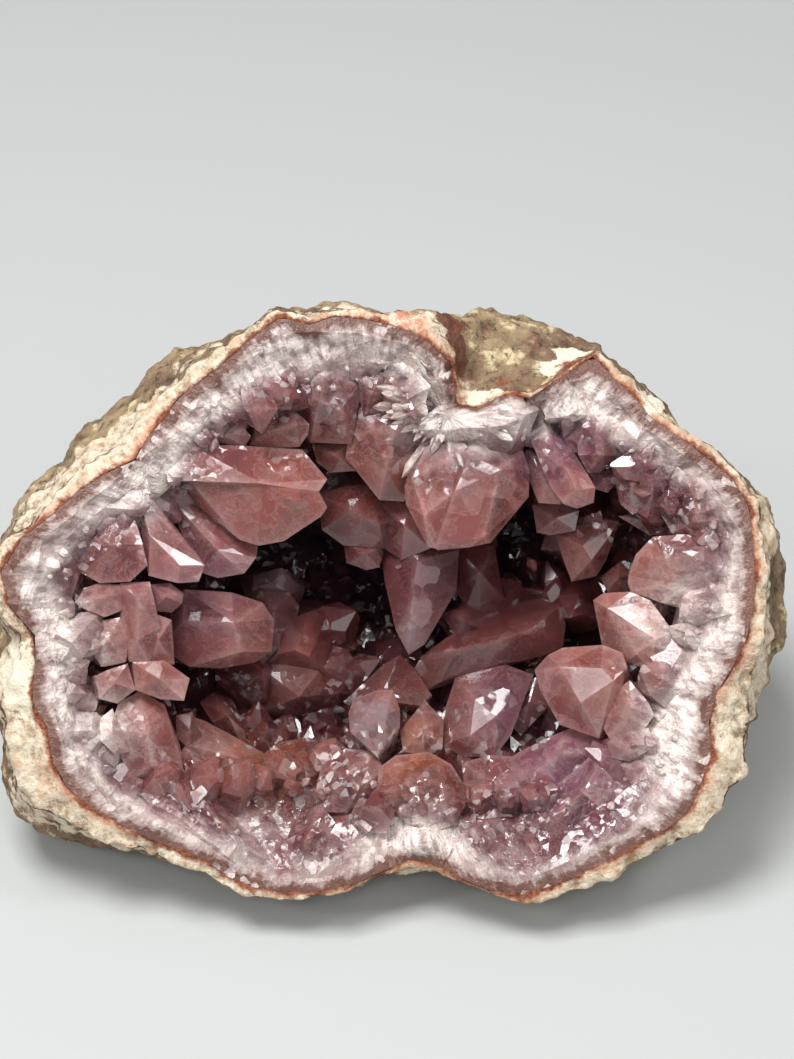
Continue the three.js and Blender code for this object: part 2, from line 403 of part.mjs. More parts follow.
    [-0.8, -18.3, -10], [-3.3, -12.5, -3.9], [-3, -11.6, -4.1], [-1.3, -10.9, -4.1],
    [-0.3, -10.9, -3.9], [0.2, -12.2, -3.5], [0.2, -13.4, -3.2], [-0.7, -14.4, -2.8],
    [-1.3, -15.4, -2.8], [-2.2, -14.4, -3], [-3.2, -13.7, -3.4], [-2, -12.3, -2.2],
    [-0.7, -12.4, -2],
  ],
  glintMid: [
    [1.9, -18.1, -8], [0.2, -13.7, -4.4], [1.9, -11.7, -5.4], [3.2, -13, -5], [3.1, -14.9, -4.3],
    [1.9, -15.4, -3.9], [0.4, -15.1, -3.9], [1.8, -13.6, -3.7],
  ],
  rosePink: [
    [-3.3, -21.5, -8], [-5.6, -17.8, -3], [-5.1, -16, -3.5], [-3.5, -14.9, -3.9],
    [-1.5, -15.1, -3.7], [-0.9, -16.4, -3.3], [-1.7, -18.1, -2.4], [-3.4, -19.1, -2],
    [-4.9, -19.1, -2.2], [-3.4, -16.5, -2], [-2.5, -17.3, -1.8],
  ],
  roseSalmon: [
    [-1.9, -22, -6], [-3.4, -19.3, -1.7], [-2.5, -18.1, -2.1], [-0.8, -18.3, -1.9],
    [0.3, -19.3, -1.4], [-0.7, -20.3, -1.1], [-2.5, -20.7, -1], [-1.5, -19.1, -0.8],
  ],
  roseGlint: [
    [-4.2, -23.3, -5], [-6.2, -21.5, -1.2], [-4.8, -20.3, -1.6], [-3.2, -20.6, -1.3],
    [-2.3, -21.6, -0.7], [-3.5, -22.7, -0.4], [-5.7, -22.9, -0.4], [-4.3, -21.5, -0.3],
  ],
  notchRed: [
    [-6.7, -24.1, -6], [-7.8, -20.4, -2.1], [-6.6, -19.3, -2.6], [-5.1, -18.5, -2.3],
    [-4.1, -19.7, -1.7], [-5.2, -21.6, -0.9], [-6.5, -23.3, -0.3], [-7.6, -22, -1.1],
    [-6.1, -20.8, -0.7],
  ],
  darkPurple: [
    [-7.9, -21.2, -11], [-9.3, -15.5, -5.6], [-8, -14.6, -6], [-6, -14.3, -6], [-4.5, -15, -5.6],
    [-5, -17.7, -4.2], [-6.6, -19.2, -3.4], [-8.2, -18.8, -3.8], [-6.4, -16.2, -3.7],
  ],
  brownSlab: [
    [-11.4, -21.1, -10], [-14.2, -12.8, -5.8], [-13.2, -13.1, -5.5], [-9.2, -15.2, -5],
    [-8.2, -16.3, -4.7], [-7.9, -18.8, -3.7], [-9, -20.2, -3.1], [-10.2, -18.7, -3.2],
    [-10.8, -17, -3.5], [-14.4, -14.7, -4.3], [-10.8, -15.5, -3.3], [-9.1, -17.6, -3.1],
  ],
  orangeEdge: [
    [-12.6, -20.1, -7], [-14.9, -15.4, -3.4], [-14.4, -14.7, -3.9], [-12.4, -15.9, -3.7],
    [-10.6, -17, -3.3], [-10, -18.3, -2.8], [-10.2, -19, -2.6], [-11.4, -18.5, -2.4],
    [-12.9, -17.6, -2.2], [-14.2, -16.4, -2.4], [-12.1, -16.8, -2.1],
  ],
  leftSlope: [
    [-18.8, -15.2, -7], [-18.8, -11.7, -2.6], [-17.4, -10.9, -3], [-15.7, -11.9, -3],
    [-14.7, -14.6, -3], [-14.3, -16.3, -2], [-15.9, -16.7, -1.5], [-17.6, -16.8, -1.3],
    [-18.5, -15.5, -1.4], [-19.3, -13.2, -1.9], [-16.8, -13.8, -1], [-16.5, -15.8, -0.9],
  ],
  longPink: [
    [-14.2, -22, -6], [-18, -17.5, -1], [-16.6, -16.8, -1.6], [-14.3, -16.3, -2.2],
    [-12.3, -17.9, -2.4], [-10.6, -19.3, -2.4], [-9.1, -21.1, -2.2], [-6.8, -23, -1.6],
    [-7, -23.4, -0.8], [-9.3, -23.2, -0.5], [-11.5, -21.7, -0.4], [-14.5, -19.3, -0.4],
    [-13.8, -17.7, -0.6], [-10.8, -20.8, -0.5],
  ],
  orangeCorner: [
    [-9.9, -22.2, -8], [-11.2, -18.7, -3.3], [-10, -19.2, -3.5], [-9.1, -21, -3],
    [-8.8, -21.7, -2.4], [-10.2, -20.6, -2], [-11.4, -19.3, -2.4], [-10, -20, -2.1],
  ],
  glintCorner: [
    [-19.5, -14, -4], [-20, -12.6, -1.1], [-19.1, -12, -1.4], [-18.5, -13.5, -1.3],
    [-17.9, -14.9, -1.1], [-18.9, -15.2, -0.7], [-19.9, -14.2, -0.7], [-19, -13.6, -0.3],
  ],
  ridgeMid: [
    [0.2, -17, -12], [-3.7, -11.9, -7], [-0.9, -9.3, -7.5], [0.2, -8.7, -7.7], [1.2, -9.6, -7.1],
    [2.4, -11.4, -6.3], [1.6, -12.1, -5.9], [-1.3, -11.7, -5.7],
  ],
  innerLeft: [
    [-17.2, -14.7, -9], [-15.1, -12.7, -4.8], [-14, -12.5, -5], [-13.3, -14, -4.6],
    [-14.2, -14.9, -4.3], [-15, -14.2, -4.2], [-14.1, -13.6, -4],
  ],
};
const ROOT_BURIED = 0.6; // how deep in the crust's wall they start, as a share of the wall
const ROOT_STEP = 0.5; // in steps of this length

// Small crystals that fill the wall between the large ones.
const SMALL_CRYSTALS = {
  count: 22,
  apart: 3.2, // their least distance from one another and from the middles of the large ones
  width: [1.6, 3],
  height: [2, 3.6],
  reach: [0.06, 0.9], // shares of the depth between which they stand
  crowding: 1.6, // above 1, they crowd towards the mouth
  sway: 0.5, // how far they lean off straight inwards
  aimDepth: 7, // they point about at the middle of the hollow, this deep
  seed: 21,
};

const SHARE_STEP = 0.02; // step in depth over which the surface's slope is taken
const CUT_FRONT = 3; // solids that are cut away stand this far out of the mouth
const MERGED_WITHIN = 1e-4; // vertices closer than this are one

const wasm = await Module();
wasm.setup();
const noise = new ImprovedNoise();

// ---- Numbers ----
const radians = THREE.MathUtils.degToRad;
const mix = THREE.MathUtils.lerp;
const smooth = (x) => THREE.MathUtils.smoothstep(x, 0, 1);

function seededRandom(seed) {
  let state = seed;
  return () => {
    state = (state * 1664525 + 1013904223) % 4294967296;
    return state / 4294967296;
  };
}

const between = ([low, high], share) => mix(low, high, share);

// A closed curve through [angle in degrees, value] pairs, read at an angle in radians.
function roundTheMouth(pairs) {
  const sorted = [...pairs].sort((a, b) => a[0] - b[0]);
  const first = sorted[0];
  const last = sorted[sorted.length - 1];
  const stops = [[last[0] - 360, last[1]], ...sorted, [first[0] + 360, first[1]]];
  return (angle) => {
    const degrees = THREE.MathUtils.euclideanModulo(THREE.MathUtils.radToDeg(angle), 360);
    const next = stops.findIndex((stop) => stop[0] > degrees);
    const [from, to] = [stops[next - 1], stops[next]];
    return mix(from[1], to[1], (degrees - from[0]) / (to[0] - from[0]));
  };
}

const quartzRadius = roundTheMouth(
  QUARTZ_OUTLINE.map(([u, v]) => {
    const arm = new THREE.Vector2(u, v).sub(CENTRE);
    return [THREE.MathUtils.radToDeg(arm.angle()), arm.length()];
  }),
);
const brokenFace = roundTheMouth(BROKEN_FACE);
const girth = roundTheMouth(GIRTH);
const quartzBand = roundTheMouth(QUARTZ_BAND);
const mouthRelief = roundTheMouth(MOUTH_RELIEF);

// ---- The body's smooth surfaces, by angle round the mouth and share of the depth ----
const toWorld = new THREE.Matrix4()
  .makeRotationX(radians(90 - MOUTH_TILT))
  .setPosition(0, -MOUTH_FORWARD, MOUTH_HEIGHT);
const toMouth = toWorld.clone().invert();

// Lifts a point near the ground, so that a surface levels off at a height above it.
function levelled(point, height) {
  point.applyMatrix4(toWorld);
  const rise = (point.z - height) / GROUND_SOFTNESS;
  point.z = height + GROUND_SOFTNESS * Math.log1p(Math.exp(rise));
  return point.applyMatrix4(toMouth);
}

// A point on the body's own axis, which leans towards the back's pole.
function onAxis(share, w) {
  const lean = BACK_DRIFT.clone().multiplyScalar(share * share).add(CENTRE);
  return new THREE.Vector3(lean.x, lean.y, w);
}

const roundOff = (share) => Math.sqrt(Math.max(0, 1 - share ** BODY_ROUNDNESS));

function outsideReach(angle, share) {
  const edge = quartzRadius(angle) + brokenFace(angle);
  return mix(edge, girth(angle), smooth(share / GIRTH_AT)) * roundOff(share);
}

function aroundAxis(angle, reach, share, w) {
  const arm = new THREE.Vector3(Math.cos(angle), Math.sin(angle), 0);
  return onAxis(share, w).addScaledVector(arm, reach);
}

function outsidePoint(angle, share) {
  const rim = mouthRelief(angle) * (1 - share) - FACE_SLOPE * brokenFace(angle);
  const point = aroundAxis(angle, outsideReach(angle, share), share, rim - BODY_DEPTH * share);
  return levelled(point, GROUND_CLEARANCE);
}

function hollowPoint(angle, share) {
  const wall = mix(brokenFace(angle), RIND_WALL, smooth(share / WALL_FULL_AT));
  const depth = BODY_DEPTH - RIND_WALL;
  const bodyShare = (share * depth) / BODY_DEPTH;
  const round = roundOff(share) / roundOff(bodyShare);
  const reach = Math.max(outsideReach(angle, bodyShare) - wall, THINNEST_REACH) * round;
  const w = mouthRelief(angle) * (1 - share) - depth * share;
  return levelled(aroundAxis(angle, reach, share, w), GROUND_CLEARANCE + wall);
}

// The crust's outer face follows the hollow's at a small gap.
function crustPoint(angle, share) {
  const point = hollowPoint(angle, share);
  if (share === 1) return point.setZ(point.z + GAP);
  const column = (2 * Math.PI) / AROUND;
  const along = hollowPoint(angle + column, share).sub(hollowPoint(angle - column, share));
  const deeper = hollowPoint(angle, Math.min(share, 1 - 2 * SHARE_STEP) + SHARE_STEP);
  const down = deeper.sub(hollowPoint(angle, Math.max(share - SHARE_STEP, 0)));
  return point.addScaledVector(along.cross(down).normalize(), GAP);
}

// The crust's own inner face: the massive quartz that the crystals stand on.
function crustInside(angle, share) {
  const point = crustPoint(angle, share);
  const inwards = onAxis(share, point.z).sub(point);
  const wall = mix(quartzBand(angle), CRUST_WALL, smooth(share / WALL_FULL_AT));
  const thickness = mix(CRUST_LIP, wall, Math.min(1, share / LIP_DEPTH));
  inwards.clampLength(0, Math.min(thickness, THICKEST_CRUST * inwards.length()));
  return point.add(inwards).setZ(point.z + CRUST_WALL * share);
}

// ---- Solids ----
function solidFrom(geometry) {
  const bare = geometry.clone();
  bare.deleteAttribute("normal");
  bare.deleteAttribute("uv");
  const merged = mergeVertices(bare, MERGED_WITHIN);
  return new wasm.Manifold(
    new wasm.Mesh({
      numProp: 3,
      vertProperties: new Float32Array(merged.attributes.position.array),
      triVerts: new Uint32Array(merged.index.array),
    }),
  );
}

function geometryFrom(solid) {
  const mesh = solid.getMesh();
  const positions = new THREE.BufferAttribute(new Float32Array(mesh.vertProperties), 3);
  const geometry = new THREE.BufferGeometry().setAttribute("position", positions);
  geometry.setIndex(new THREE.BufferAttribute(new Uint32Array(mesh.triVerts), 1));
  geometry.computeVertexNormals();
  return geometry;
}

// A turned shape whose rings are then moved out to rings[j](angle). Its first and last rings
// are single points. One whose rings start on its inside is turned right side out.
function turned(rings, around = AROUND, fromInside = false) {
  const profile = rings.map((_, j) => {
    const isPole = j === 0 || j === rings.length - 1;
    return new THREE.Vector2(isPole ? 0 : 1, j);
  });
  const geometry = new THREE.LatheGeometry(profile, around);
  const position = geometry.attributes.position;
  for (let i = 0; i <= around; i++) {
    const angle = ((i % around) / around) * 2 * Math.PI;
    rings.forEach((ring, j) => position.setXYZ(i * rings.length + j, ...ring(angle)));
  }
  if (fromInside) geometry.index.array.reverse();
  return solidFrom(geometry);
}

// ---- Rind ----
const lumps = (() => {
  const random = seededRandom(LUMPS.seed);
  const scattered = Array.from({ length: LUMPS.count }, () => ({
    at: outsidePoint(2 * Math.PI * random(), between(LUMPS.reach, random())),
    radius: between(LUMPS.radius, random()),
    height: between(LUMPS.height, random()),
  }));
  const feet = FEET.map(([x, y]) => ({
    at: new THREE.Vector3(x, y, 0).applyMatrix4(toMouth),
    ...FOOT,
  }));
  return [...scattered, ...feet];
})();

function lumpHeight(point) {
  const round = (lump) => 1 - point.distanceToSquared(lump.at) / lump.radius ** 2;
  return Math.max(0, ...lumps.map((lump) => lump.height * Math.sqrt(Math.max(0, round(lump)))));
}

// The outside with its lumps and grain.
function weathered(angle, share) {
  const point = outsidePoint(angle, share);
  const outwards = point.clone().sub(new THREE.Vector3(CENTRE.x, CENTRE.y, -MIDDLE_DEPTH));
  const grain = noise.noise(point.x / GRAIN.size, point.y / GRAIN.size, point.z / GRAIN.size);
  const rise = lumpHeight(point) + GRAIN.height * grain;
  return point.addScaledVector(outwards.normalize(), rise * smooth(share / LUMPS.fullAt));
}

function makeRind() {
  const outside = OUTSIDE_RINGS.map((share) => (angle) => weathered(angle, share));
  const hollow = HOLLOW_RINGS.map((share) => (angle) => hollowPoint(angle, share));
  const rings = [
    () => hollowPoint(0, 1),
    ...hollow,
    (angle) => hollowPoint(angle, 0),
    (angle) => outsidePoint(angle, 0),
    ...outside,
    () => weathered(0, 1),
  ];
  // Its feet are worn flat where it rests.
  const up = new THREE.Vector3(0, 0, 1).transformDirection(toMouth);
  return turned(rings, AROUND, true).trimByPlane(up.toArray(), -MOUTH_HEIGHT);
}

// ---- Crystals ----
function isInCrustWall(point) {
  const share = THREE.MathUtils.clamp(-point.z / (BODY_DEPTH - RIND_WALL), 0, 1);
  const axis = onAxis(share, point.z);
  const angle = Math.atan2(point.y - axis.y, point.x - axis.x);
  const outside = crustPoint(angle, share).setZ(point.z);
  const room = outside.distanceTo(axis) - point.distanceTo(axis);
  return share === 1 || room < ROOT_BURIED * CRUST_WALL;
}

const asVectors = (corners) => corners.map((corner) => new THREE.Vector3(...corner));

function middleOf(corners) {
  const sum = corners.reduce((total, corner) => total.add(corner), new THREE.Vector3());
  return sum.divideScalar(corners.length);
}

function makeBlock(corners) {
  const [root, ...rest] = asVectors(corners);
  const backwards = root.clone().sub(middleOf(rest)).normalize();
  while (!isInCrustWall(root)) root.addScaledVector(backwards, ROOT_STEP);
  return solidFrom(new ConvexGeometry([root, ...rest]));
}

// A small crystal shows only the three faces of its point: the corner of a cube.
function makeCorner(root, axis, width, height, turn) {
  const upright = new THREE.Vector3(0, 1, 0);
  const cube = new THREE.BoxGeometry(1, 1, 1);
  cube.rotateY(Math.PI / 4);
  cube.rotateX(Math.atan(Math.SQRT2));
  cube.scale(width, height, width);
  cube.rotateY(turn);
  cube.applyQuaternion(new THREE.Quaternion().setFromUnitVectors(upright, axis));
  cube.translate(root.x, root.y, root.z);
  return solidFrom(cube);
}

function smallCrystals() {
  const random = seededRandom(SMALL_CRYSTALS.seed);
  const aimAt = onAxis(0, -SMALL_CRYSTALS.aimDepth);
  const taken = Object.values(BLOCKS).map((corners) => middleOf(asVectors(corners)));
  const made = [];
  while (made.length < SMALL_CRYSTALS.count) {
    const share = between(SMALL_CRYSTALS.reach, random() ** SMALL_CRYSTALS.crowding);
    const root = crustInside(2 * Math.PI * random(), share);
    const sway = new THREE.Vector3(random() - 0.5, random() - 0.5, random());
    const axis = aimAt.clone().sub(root).normalize();
    axis.addScaledVector(sway, SMALL_CRYSTALS.sway).normalize();
    const width = between(SMALL_CRYSTALS.width, random());
    const height = between(SMALL_CRYSTALS.height, random());
    if (taken.some((place) => place.distanceTo(root) < SMALL_CRYSTALS.apart)) continue;
    taken.push(root);
    made.push(makeCorner(root, axis, width, height, 2 * Math.PI * random()));
  }
  return made;
}

// All that fits inside the rind, with its mouth closed by a cone whose point is at w = front.
function hollowSolid(front, forwards = []) {
  return turned([
    () => crustPoint(0, 1),
    ...HOLLOW_RINGS.map((share) => (angle) => crustPoint(angle, share)),
    (angle) => crustPoint(angle, 0),
    ...forwards,
    () => new THREE.Vector3(CENTRE.x, CENTRE.y, front),
  ]);
}

function makeCrust() {
  const pit = turned(
    [
      () => crustInside(0, 1),
      ...PIT_RINGS.map((share) => (angle) => crustInside(angle, share)),
      (angle) => crustInside(angle, 0).setZ(CUT_FRONT),
      () => new THREE.Vector3(CENTRE.x, CENTRE.y, CUT_FRONT),
    ],
    PIT_AROUND,
  );
  const lining = hollowSolid(-CRUST_WALL).subtract(pit);
  const blocks = Object.values(BLOCKS).map(makeBlock);
  const crystals = wasm.Manifold.union([...blocks, ...smallCrystals()]);
  // Crystals may stand out of the mouth, but never reach back into the rock.
  const room = hollowSolid(BODY_DEPTH, [(angle) => crustPoint(angle, 0).setZ(BODY_DEPTH)]);
  const crust = lining.add(crystals.intersect(room));
  // Where crystals close off a pocket between them, its walls come apart as an inside-out
  // body, and only the outermost surface is kept.
  return crust.decompose().find((body) => body.volume() > 0);
}

// ---- The geode ----
function piece(name, solid, color, roughness) {
  const material = new THREE.MeshStandardMaterial({
    color,
    roughness,
    metalness: 0,
    flatShading: true,
  });
  const mesh = new THREE.Mesh(geometryFrom(solid), material);
  mesh.name = name;
  return mesh;
}

const geode = new THREE.Group();
geode.add(
  piece("rind", makeRind(), 0xb09a78, 0.9),
  piece("crystal_crust", makeCrust(), 0xb4707a, 0.2),
);
toWorld.decompose(geode.position, geode.quaternion, geode.scale);

export default geode;
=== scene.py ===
"""Half of a pink amethyst geode: a lumpy rock rind lined with quartz and amethyst crystals.

It is laid out as an add-on. Its sizes in the script are millimetres in the mouth frame: u runs
right across the geode's mouth, v up across it, and w out of it. Meshes are in metres.
"""

import itertools
import math
import random
from dataclasses import dataclass

import bmesh
import bpy
import numpy as np
from bpy.props import FloatProperty, FloatVectorProperty, IntProperty, PointerProperty
from mathutils import Color, Matrix, Vector, noise
from mathutils.bvhtree import BVHTree
from mathutils.kdtree import KDTree


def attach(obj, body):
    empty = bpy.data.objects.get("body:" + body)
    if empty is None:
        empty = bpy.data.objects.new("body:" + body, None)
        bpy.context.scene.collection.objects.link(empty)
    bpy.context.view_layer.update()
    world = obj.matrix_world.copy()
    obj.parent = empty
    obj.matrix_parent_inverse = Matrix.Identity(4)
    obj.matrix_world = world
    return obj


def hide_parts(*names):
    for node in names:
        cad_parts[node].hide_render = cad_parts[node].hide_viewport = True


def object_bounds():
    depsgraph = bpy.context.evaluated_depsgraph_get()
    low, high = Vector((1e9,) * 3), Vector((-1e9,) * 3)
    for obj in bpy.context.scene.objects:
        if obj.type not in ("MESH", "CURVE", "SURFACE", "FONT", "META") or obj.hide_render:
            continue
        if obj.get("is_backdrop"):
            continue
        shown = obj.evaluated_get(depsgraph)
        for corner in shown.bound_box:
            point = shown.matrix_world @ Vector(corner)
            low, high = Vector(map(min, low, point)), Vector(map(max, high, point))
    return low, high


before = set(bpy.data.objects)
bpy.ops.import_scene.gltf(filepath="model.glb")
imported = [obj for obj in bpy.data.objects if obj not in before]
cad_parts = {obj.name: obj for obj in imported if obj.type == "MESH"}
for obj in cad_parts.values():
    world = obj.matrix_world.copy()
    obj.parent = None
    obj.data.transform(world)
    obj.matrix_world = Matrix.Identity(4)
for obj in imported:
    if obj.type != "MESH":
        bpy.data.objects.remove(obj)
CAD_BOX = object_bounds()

bl_info = {
    "name": "Pink Amethyst Geode",
    "version": (1, 0, 0),
    "blender": (4, 5, 0),
    "location": "3D View > Sidebar > Geode",
    "description": "Dresses the two solids of a geode half and sets a stage for it",
    "category": "Object",
}

MM = 0.001
WELD = 1e-7  # metres: vertices closer than this are one
HALVINGS = 5

# ---- The mouth frame ----
MOUTH_TILT = math.radians(40)  # the mouth's normal points this far above the horizon
MOUTH_AT = Vector((0, -3.5, 22.3)) * MM
MOUTH_MIDDLE = Vector((-0.8, -5))  # of the quartz outline, in u and v
MOUTH_REACH = 20  # about half its width
HOLLOW_MIDDLE = Vector((*MOUTH_MIDDLE, -9))
HOLLOW_TOP = -1  # w below which the rind can face the hollow
RIGHT = Vector((1, 0, 0))
UPWARDS = Vector((0, math.sin(MOUTH_TILT), math.cos(MOUTH_TILT)))
OUTWARDS = Vector((0, -math.cos(MOUTH_TILT), math.sin(MOUTH_TILT)))


def in_mouth(point):
    """u, v and w of a point, in millimetres."""
    arm = (point - MOUTH_AT) / MM
    return Vector((arm.dot(RIGHT), arm.dot(UPWARDS), arm.dot(OUTWARDS)))


def from_mouth(place):
    """The point in metres at u, v and w."""
    u, v, w = place
    return MOUTH_AT + MM * (u * RIGHT + v * UPWARDS + w * OUTWARDS)


# ---- Shader maths ----
class Value:
    """A number socket: Python's operators on it add Math nodes."""

    def __init__(self, finish, socket):
        self.finish = finish
        self.socket = socket

    def _math(self, operation, *numbers, clamp=False):
        settings = {"operation": operation, "use_clamp": clamp}
        node = self.finish.node("ShaderNodeMath", settings, dict(enumerate(numbers)))
        return Value(self.finish, node.outputs[0])

    def __add__(self, other):
        return self._math("ADD", self, other)

    __radd__ = __add__

    def __sub__(self, other):
        return self._math("SUBTRACT", self, other)

    def __rsub__(self, other):
        return self._math("SUBTRACT", other, self)

    def __mul__(self, other):
        return self._math("MULTIPLY", self, other)

    __rmul__ = __mul__

    def clamped(self):
        return self._math("ADD", self, 0, clamp=True)

    def rise(self, low, high):
        """0 below low, 1 above high, and smooth between them."""
        settings = {"interpolation_type": "SMOOTHSTEP"}
        node = self.finish.node("ShaderNodeMapRange", settings, {0: self, 1: low, 2: high})
        return Value(self.finish, node.outputs[0])

    def fall(self, low, high):
        return 1 - self.rise(low, high)


class Finish:
    """A material that is built from expressions."""

    def __init__(self, name):
        self.material = bpy.data.materials.new(name)
        self.material.use_nodes = True
        self.tree = self.material.node_tree
        self.tree.nodes.clear()

    def node(self, kind, settings=None, sockets=None):
        """Adds a node: its settings are set first, then the values or links of its sockets."""
        node = self.tree.nodes.new(kind)
        for name, value in (settings or {}).items():
            setattr(node, name, value)
        for name, value in (sockets or {}).items():
            if isinstance(value, Value):
                value = value.socket
            if isinstance(value, bpy.types.NodeSocket):
                self.tree.links.new(value, node.inputs[name])
            else:
                node.inputs[name].default_value = value
        return node

    def vector(self, operation, sockets):
        """Vector maths on numbered sockets."""
        return self.node("ShaderNodeVectorMath", {"operation": operation}, sockets).outputs[0]

    def attribute(self, name):
        """A number that the mesh carries."""
        return Value(self, self.node("ShaderNodeAttribute", {"attribute_name": name}).outputs["Fac"])

    def place(self, name=None):
        """Where a point is: on the object in metres, or a vector that the mesh carries."""
        if name is None:
            return self.node("ShaderNodeTexCoord").outputs["Object"]
        return self.node("ShaderNodeAttribute", {"attribute_name": name}).outputs["Vector"]

    def noise(self, place, size, detail, roughness=0.55):
        """Cloudy noise from 0 to 1, with features about as large as size."""
        sockets = {"Vector": place, "Scale": 1 / size, "Detail": detail, "Roughness": roughness}
        return Value(self, self.node("ShaderNodeTexNoise", None, sockets).outputs["Fac"])

    def warped(self, place, size, reach):
        """A place that is moved about at random, by up to about reach."""
        sockets = {"Vector": place, "Scale": 1 / size, "Detail": 1}
        drift = self.node("ShaderNodeTexNoise", None, sockets).outputs["Color"]
        return self.vector("MULTIPLY_ADD", {0: drift, 1: (reach, reach, reach), 2: place})

    def stretched(self, place, scale):
        """A place whose axes are scaled, for a pattern that is longer one way."""
        return self.vector("MULTIPLY", {0: place, 1: scale})

    def splinters(self, place, size):
        """Splinters about as large as size, each with a random colour."""
        sockets = {"Vector": place, "Scale": 1 / size}
        return self.node("ShaderNodeTexVoronoi", None, sockets).outputs["Color"]

    def red_of(self, colour):
        return Value(self, self.node("ShaderNodeSeparateColor", None, {0: colour}).outputs[0])

    def mix(self, share, one, other):
        """A colour between two others."""
        sockets = {0: share, 6: one, 7: other}
        return self.node("ShaderNodeMix", {"data_type": "RGBA"}, sockets).outputs[2]

    def layered(self, colour, *layers):
        """A colour with others over it, each given as its share and its colour."""
        for share, layer in layers:
            colour = self.mix(share, colour, layer)
        return colour

    def tilted(self, normal, lean, amount):
        """A normal that leans as a random colour says, so that each splinter is a flat facet."""
        arm = self.vector("SUBTRACT", {0: lean, 1: (0.5, 0.5, 0.5)})
        arm = self.vector("SCALE", {0: arm, 3: amount})
        return self.vector("NORMALIZE", {0: self.vector("ADD", {0: normal, 1: arm})})

    def bump(self, height, depth, below=None):
        """A normal that is tilted by a height from 0 to 1, times depth in metres."""
        sockets = {"Height": height, "Distance": depth, "Strength": 1.0}
        if below is not None:
            sockets["Normal"] = below
        return self.node("ShaderNodeBump", None, sockets).outputs["Normal"]

    def surface(self, sockets):
        return self.node("ShaderNodeBsdfPrincipled", None, sockets).outputs["BSDF"]

    def done(self, shader):
        self.node("ShaderNodeOutputMaterial", None, {"Surface": shader})
        return self.material


def paint(red, green, blue):
    """A colour given by its 0 to 255 display values, as sockets take it."""
    return (*Color((red / 255, green / 255, blue / 255)).from_srgb_to_scene_linear(), 1.0)


# ---- Settings ----
def colour_setting(name, description, *display_values):
    return FloatVectorProperty(
        name=name,
        description=description,
        subtype="COLOR",
        size=4,
        min=0,
        max=1,
        default=paint(*display_values),
    )


def length_setting(name, description, millimetres):
    return FloatProperty(
        name=name,
        description=description,
        subtype="DISTANCE",
        unit="LENGTH",
        min=0.05 * MM,
        precision=5,
        default=millimetres * MM,
    )


def count_setting(name, description, count):
    return IntProperty(name=name, description=description, min=1, default=count)


def power_setting(name, watts):
    description = f"Power of the {name.lower()}"
    return FloatProperty(name=name, description=description, unit="POWER", min=0, default=watts)


class GEODE_PG_rock(bpy.types.PropertyGroup):
    """The rock rind"""

    edge: length_setting("Mesh edge", "Longest edge of the shown rock's mesh", 0.45)
    light_tan: colour_setting("Light tan", "The rock's lighter patches", 164, 141, 110)
    dark_tan: colour_setting("Dark tan", "The rock's darker patches", 126, 102, 82)
    light_grain: colour_setting("Light grain", "The rock's pale grains", 200, 178, 142)
    dark_grain: colour_setting("Dark grain", "The rock's dark grains", 70, 54, 44)
    dip: colour_setting("Dip", "The rock's dips", 66, 52, 42)
    cream: colour_setting("Cream", "Pale stains on the rock", 224, 208, 168)
    brown: colour_setting("Brown", "Dark stains on the rock", 112, 78, 62)
    light_chalk: colour_setting("Light chalk", "The broken face of the rock", 236, 224, 202)
    dark_chalk: colour_setting("Dark chalk", "The darker grain of the broken face", 188, 164, 134)
    peach: colour_setting("Peach", "Stains on the broken face", 206, 160, 128)
    umber: colour_setting("Umber", "Dips in the broken face", 128, 104, 84)
    salmon: colour_setting("Salmon", "Where the broken face nears the quartz", 206, 144, 112)
    light_rust: colour_setting("Light rust", "The rusty line round the quartz", 160, 94, 64)
    dark_rust: colour_setting("Dark rust", "The rusty line's darker grain", 100, 54, 40)


class GEODE_PG_crystals(bpy.types.PropertyGroup):
    """The crust of crystals"""

    edge: length_setting("Mesh edge", "Longest edge of the shown crystals' mesh", 0.55)
    light_root: colour_setting("Light root", "Crystals near the rock", 142, 78, 86)
    dark_root: colour_setting("Dark root", "Darker clouds near the rock", 108, 56, 70)
    tip: colour_setting("Tip", "Crystals far from the rock", 198, 113, 99)
    orange: colour_setting("Orange", "The orange crystals", 204, 122, 86)
    violet: colour_setting("Violet", "The violet crystals", 176, 124, 152)
    # A painted sheen: silver that stands in for the reflections of strongly reflective facets
    silver: colour_setting("Silver", "The silvery crystals", 204, 188, 198)
    clear: colour_setting("Clear", "The small crystals that are clearer", 104, 52, 70)
    veil: colour_setting("Veil", "Cloudy veils in the crystals", 236, 202, 198)
    # Veins in the crystals, and a painted highlight along their sharp edges
    vein_and_edge_highlight: colour_setting("Vein", "Veins and edges of the crystals", 240, 196, 188)
    grit: colour_setting("Grit", "Dark specks in the crystals", 120, 62, 74)
    # A painted glint: white flecks where small chips would flash
    painted_glint: colour_setting("Chip", "Small chips that flash", 246, 230, 226)
    shadow: colour_setting("Shadow", "The darker crystal faces", 100, 50, 54)
    gleam: colour_setting("Gleam", "The lighter crystal faces", 224, 166, 154)
    # Deep and Deepest are painted shade: the crystals darken deeper inside the hollow, most at its
    # bottom
    deep: colour_setting("Deep", "Crystals inside the hollow", 90, 43, 47)
    deepest_painted_shade: colour_setting("Deepest", "Crystals at the bottom of the hollow", 64, 40, 52)
    light_quartz: colour_setting("Light quartz", "The white quartz inside the rim", 236, 225, 217)
    dark_quartz: colour_setting("Dark quartz", "The white quartz's darker fibres", 178, 160, 156)
    light_rim: colour_setting("Light rim", "Quartz close to the rock", 142, 116, 110)
    dark_rim: colour_setting("Dark rim", "Quartz next to the rock", 104, 62, 48)


class GEODE_PG_small_crystals(bpy.types.PropertyGroup):
    """The small crystals"""

    filling: count_setting("Filling crystals", "How many stand on the walls of the hollow", 1300)
    deep: count_setting("Deep crystals", "How many stand at the bottom of the hollow", 420)
    sugar: count_setting("Sugar crystals", "How many tiny ones stand along the white quartz", 350)
    burst: count_setting("Burst crystals", "How many fan out below the notch", 120)


